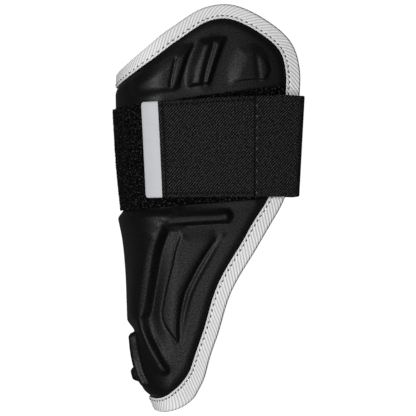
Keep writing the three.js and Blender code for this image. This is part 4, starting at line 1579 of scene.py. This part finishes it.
class GUARD_OT_loop_panel(Operator):
    """Make the plush band that wraps round the ridge, and its pile"""

    bl_idname = "elbow_guard.loop_panel"
    bl_label = "Loop panel"

    def execute(self, context):
        settings = context.scene.elbow_guard.panel
        plush = loop_plush(settings)
        panel = loop_panel_skin().build("loop_backing", plush)
        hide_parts("loop_panel")
        skin = pile_skin(settings.pile_length / MM, settings.pile_density, settings.seed)
        pile = skin.build("loop_pile", plush)
        places, _, _ = loop_panel_face()
        return {"FINISHED"}


class GUARD_OT_hook_patch(Operator):
    """Make the hook patch under the strap's free end"""

    bl_idname = "elbow_guard.hook_patch"
    bl_label = "Hook patch"

    def execute(self, context):
        settings = context.scene.elbow_guard.hook
        patch = hook_patch_skin(settings.pitch / MM).build("hook_tape", hook_tape(settings))
        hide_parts("hook_patch")
        return {"FINISHED"}


class GUARD_OT_strap(Operator):
    """Make the elastic strap and its stitches"""

    bl_idname = "elbow_guard.strap"
    bl_label = "Strap"

    stitch_share = 0.62
    thread_radius = 0.4
    thread_sink = 0.25

    def execute(self, context):
        settings = context.scene.elbow_guard.strap
        strap = strap_skin().build("elastic_strap", elastic(settings))
        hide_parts("strap")
        pitch = settings.stitch_pitch / MM
        dark_rows, pale_rows = strap_stitch_rows(pitch)
        for name, rows, colour in (
            ("strap_stitches", dark_rows, settings.thread_colour),
            ("patch_end_stitches", pale_rows, settings.pale_thread_colour),
        ):
            skin = stitch_skin(rows, pitch * self.stitch_share, self.thread_radius, self.thread_sink)
            thread = skin.build(name, sewing_thread(name + "_thread", colour))
        return {"FINISHED"}


class GUARD_OT_pull_tab(Operator):
    """Make the rubber tab at the strap's free end"""

    bl_idname = "elbow_guard.pull_tab"
    bl_label = "Pull tab"

    def execute(self, context):
        settings = context.scene.elbow_guard.tab
        tab = pull_tab_skin().build("tab_plate", tab_rubber(settings))
        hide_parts("pull_tab")
        return {"FINISHED"}


OPERATORS = (
    GUARD_OT_stage,
    GUARD_OT_moulded_pad,
    GUARD_OT_edge_binding,
    GUARD_OT_loop_panel,
    GUARD_OT_hook_patch,
    GUARD_OT_strap,
    GUARD_OT_pull_tab,
)


class GUARD_PT_pieces(Panel):
    """Lists the guard's pieces with their settings"""

    bl_idname = "GUARD_PT_pieces"
    bl_label = "Elbow Guard"
    bl_space_type = "VIEW_3D"
    bl_region_type = "UI"
    bl_category = "Elbow Guard"

    def draw(self, context):
        for operator in OPERATORS:
            self.layout.operator(operator.bl_idname)
        for name in GuardSettings.__annotations__:
            group = getattr(context.scene.elbow_guard, name)
            box = self.layout.box()
            for setting in type(group).__annotations__:
                box.prop(group, setting)


CLASSES = (
    PadSettings,
    TapeSettings,
    PanelSettings,
    HookSettings,
    StrapSettings,
    TabSettings,
    StageSettings,
    GuardSettings,
    *OPERATORS,
    GUARD_PT_pieces,
)


def register():
    for cls in CLASSES:
        bpy.utils.register_class(cls)
    bpy.types.Scene.elbow_guard = PointerProperty(type=GuardSettings)


def unregister():
    del bpy.types.Scene.elbow_guard
    for cls in reversed(CLASSES):
        bpy.utils.unregister_class(cls)


def main():
    register()
    bpy.ops.elbow_guard.stage()
    bpy.ops.elbow_guard.moulded_pad()
    bpy.ops.elbow_guard.edge_binding()
    bpy.ops.elbow_guard.loop_panel()
    bpy.ops.elbow_guard.hook_patch()
    bpy.ops.elbow_guard.strap()
    bpy.ops.elbow_guard.pull_tab()


if __name__ == "__main__":
    main()
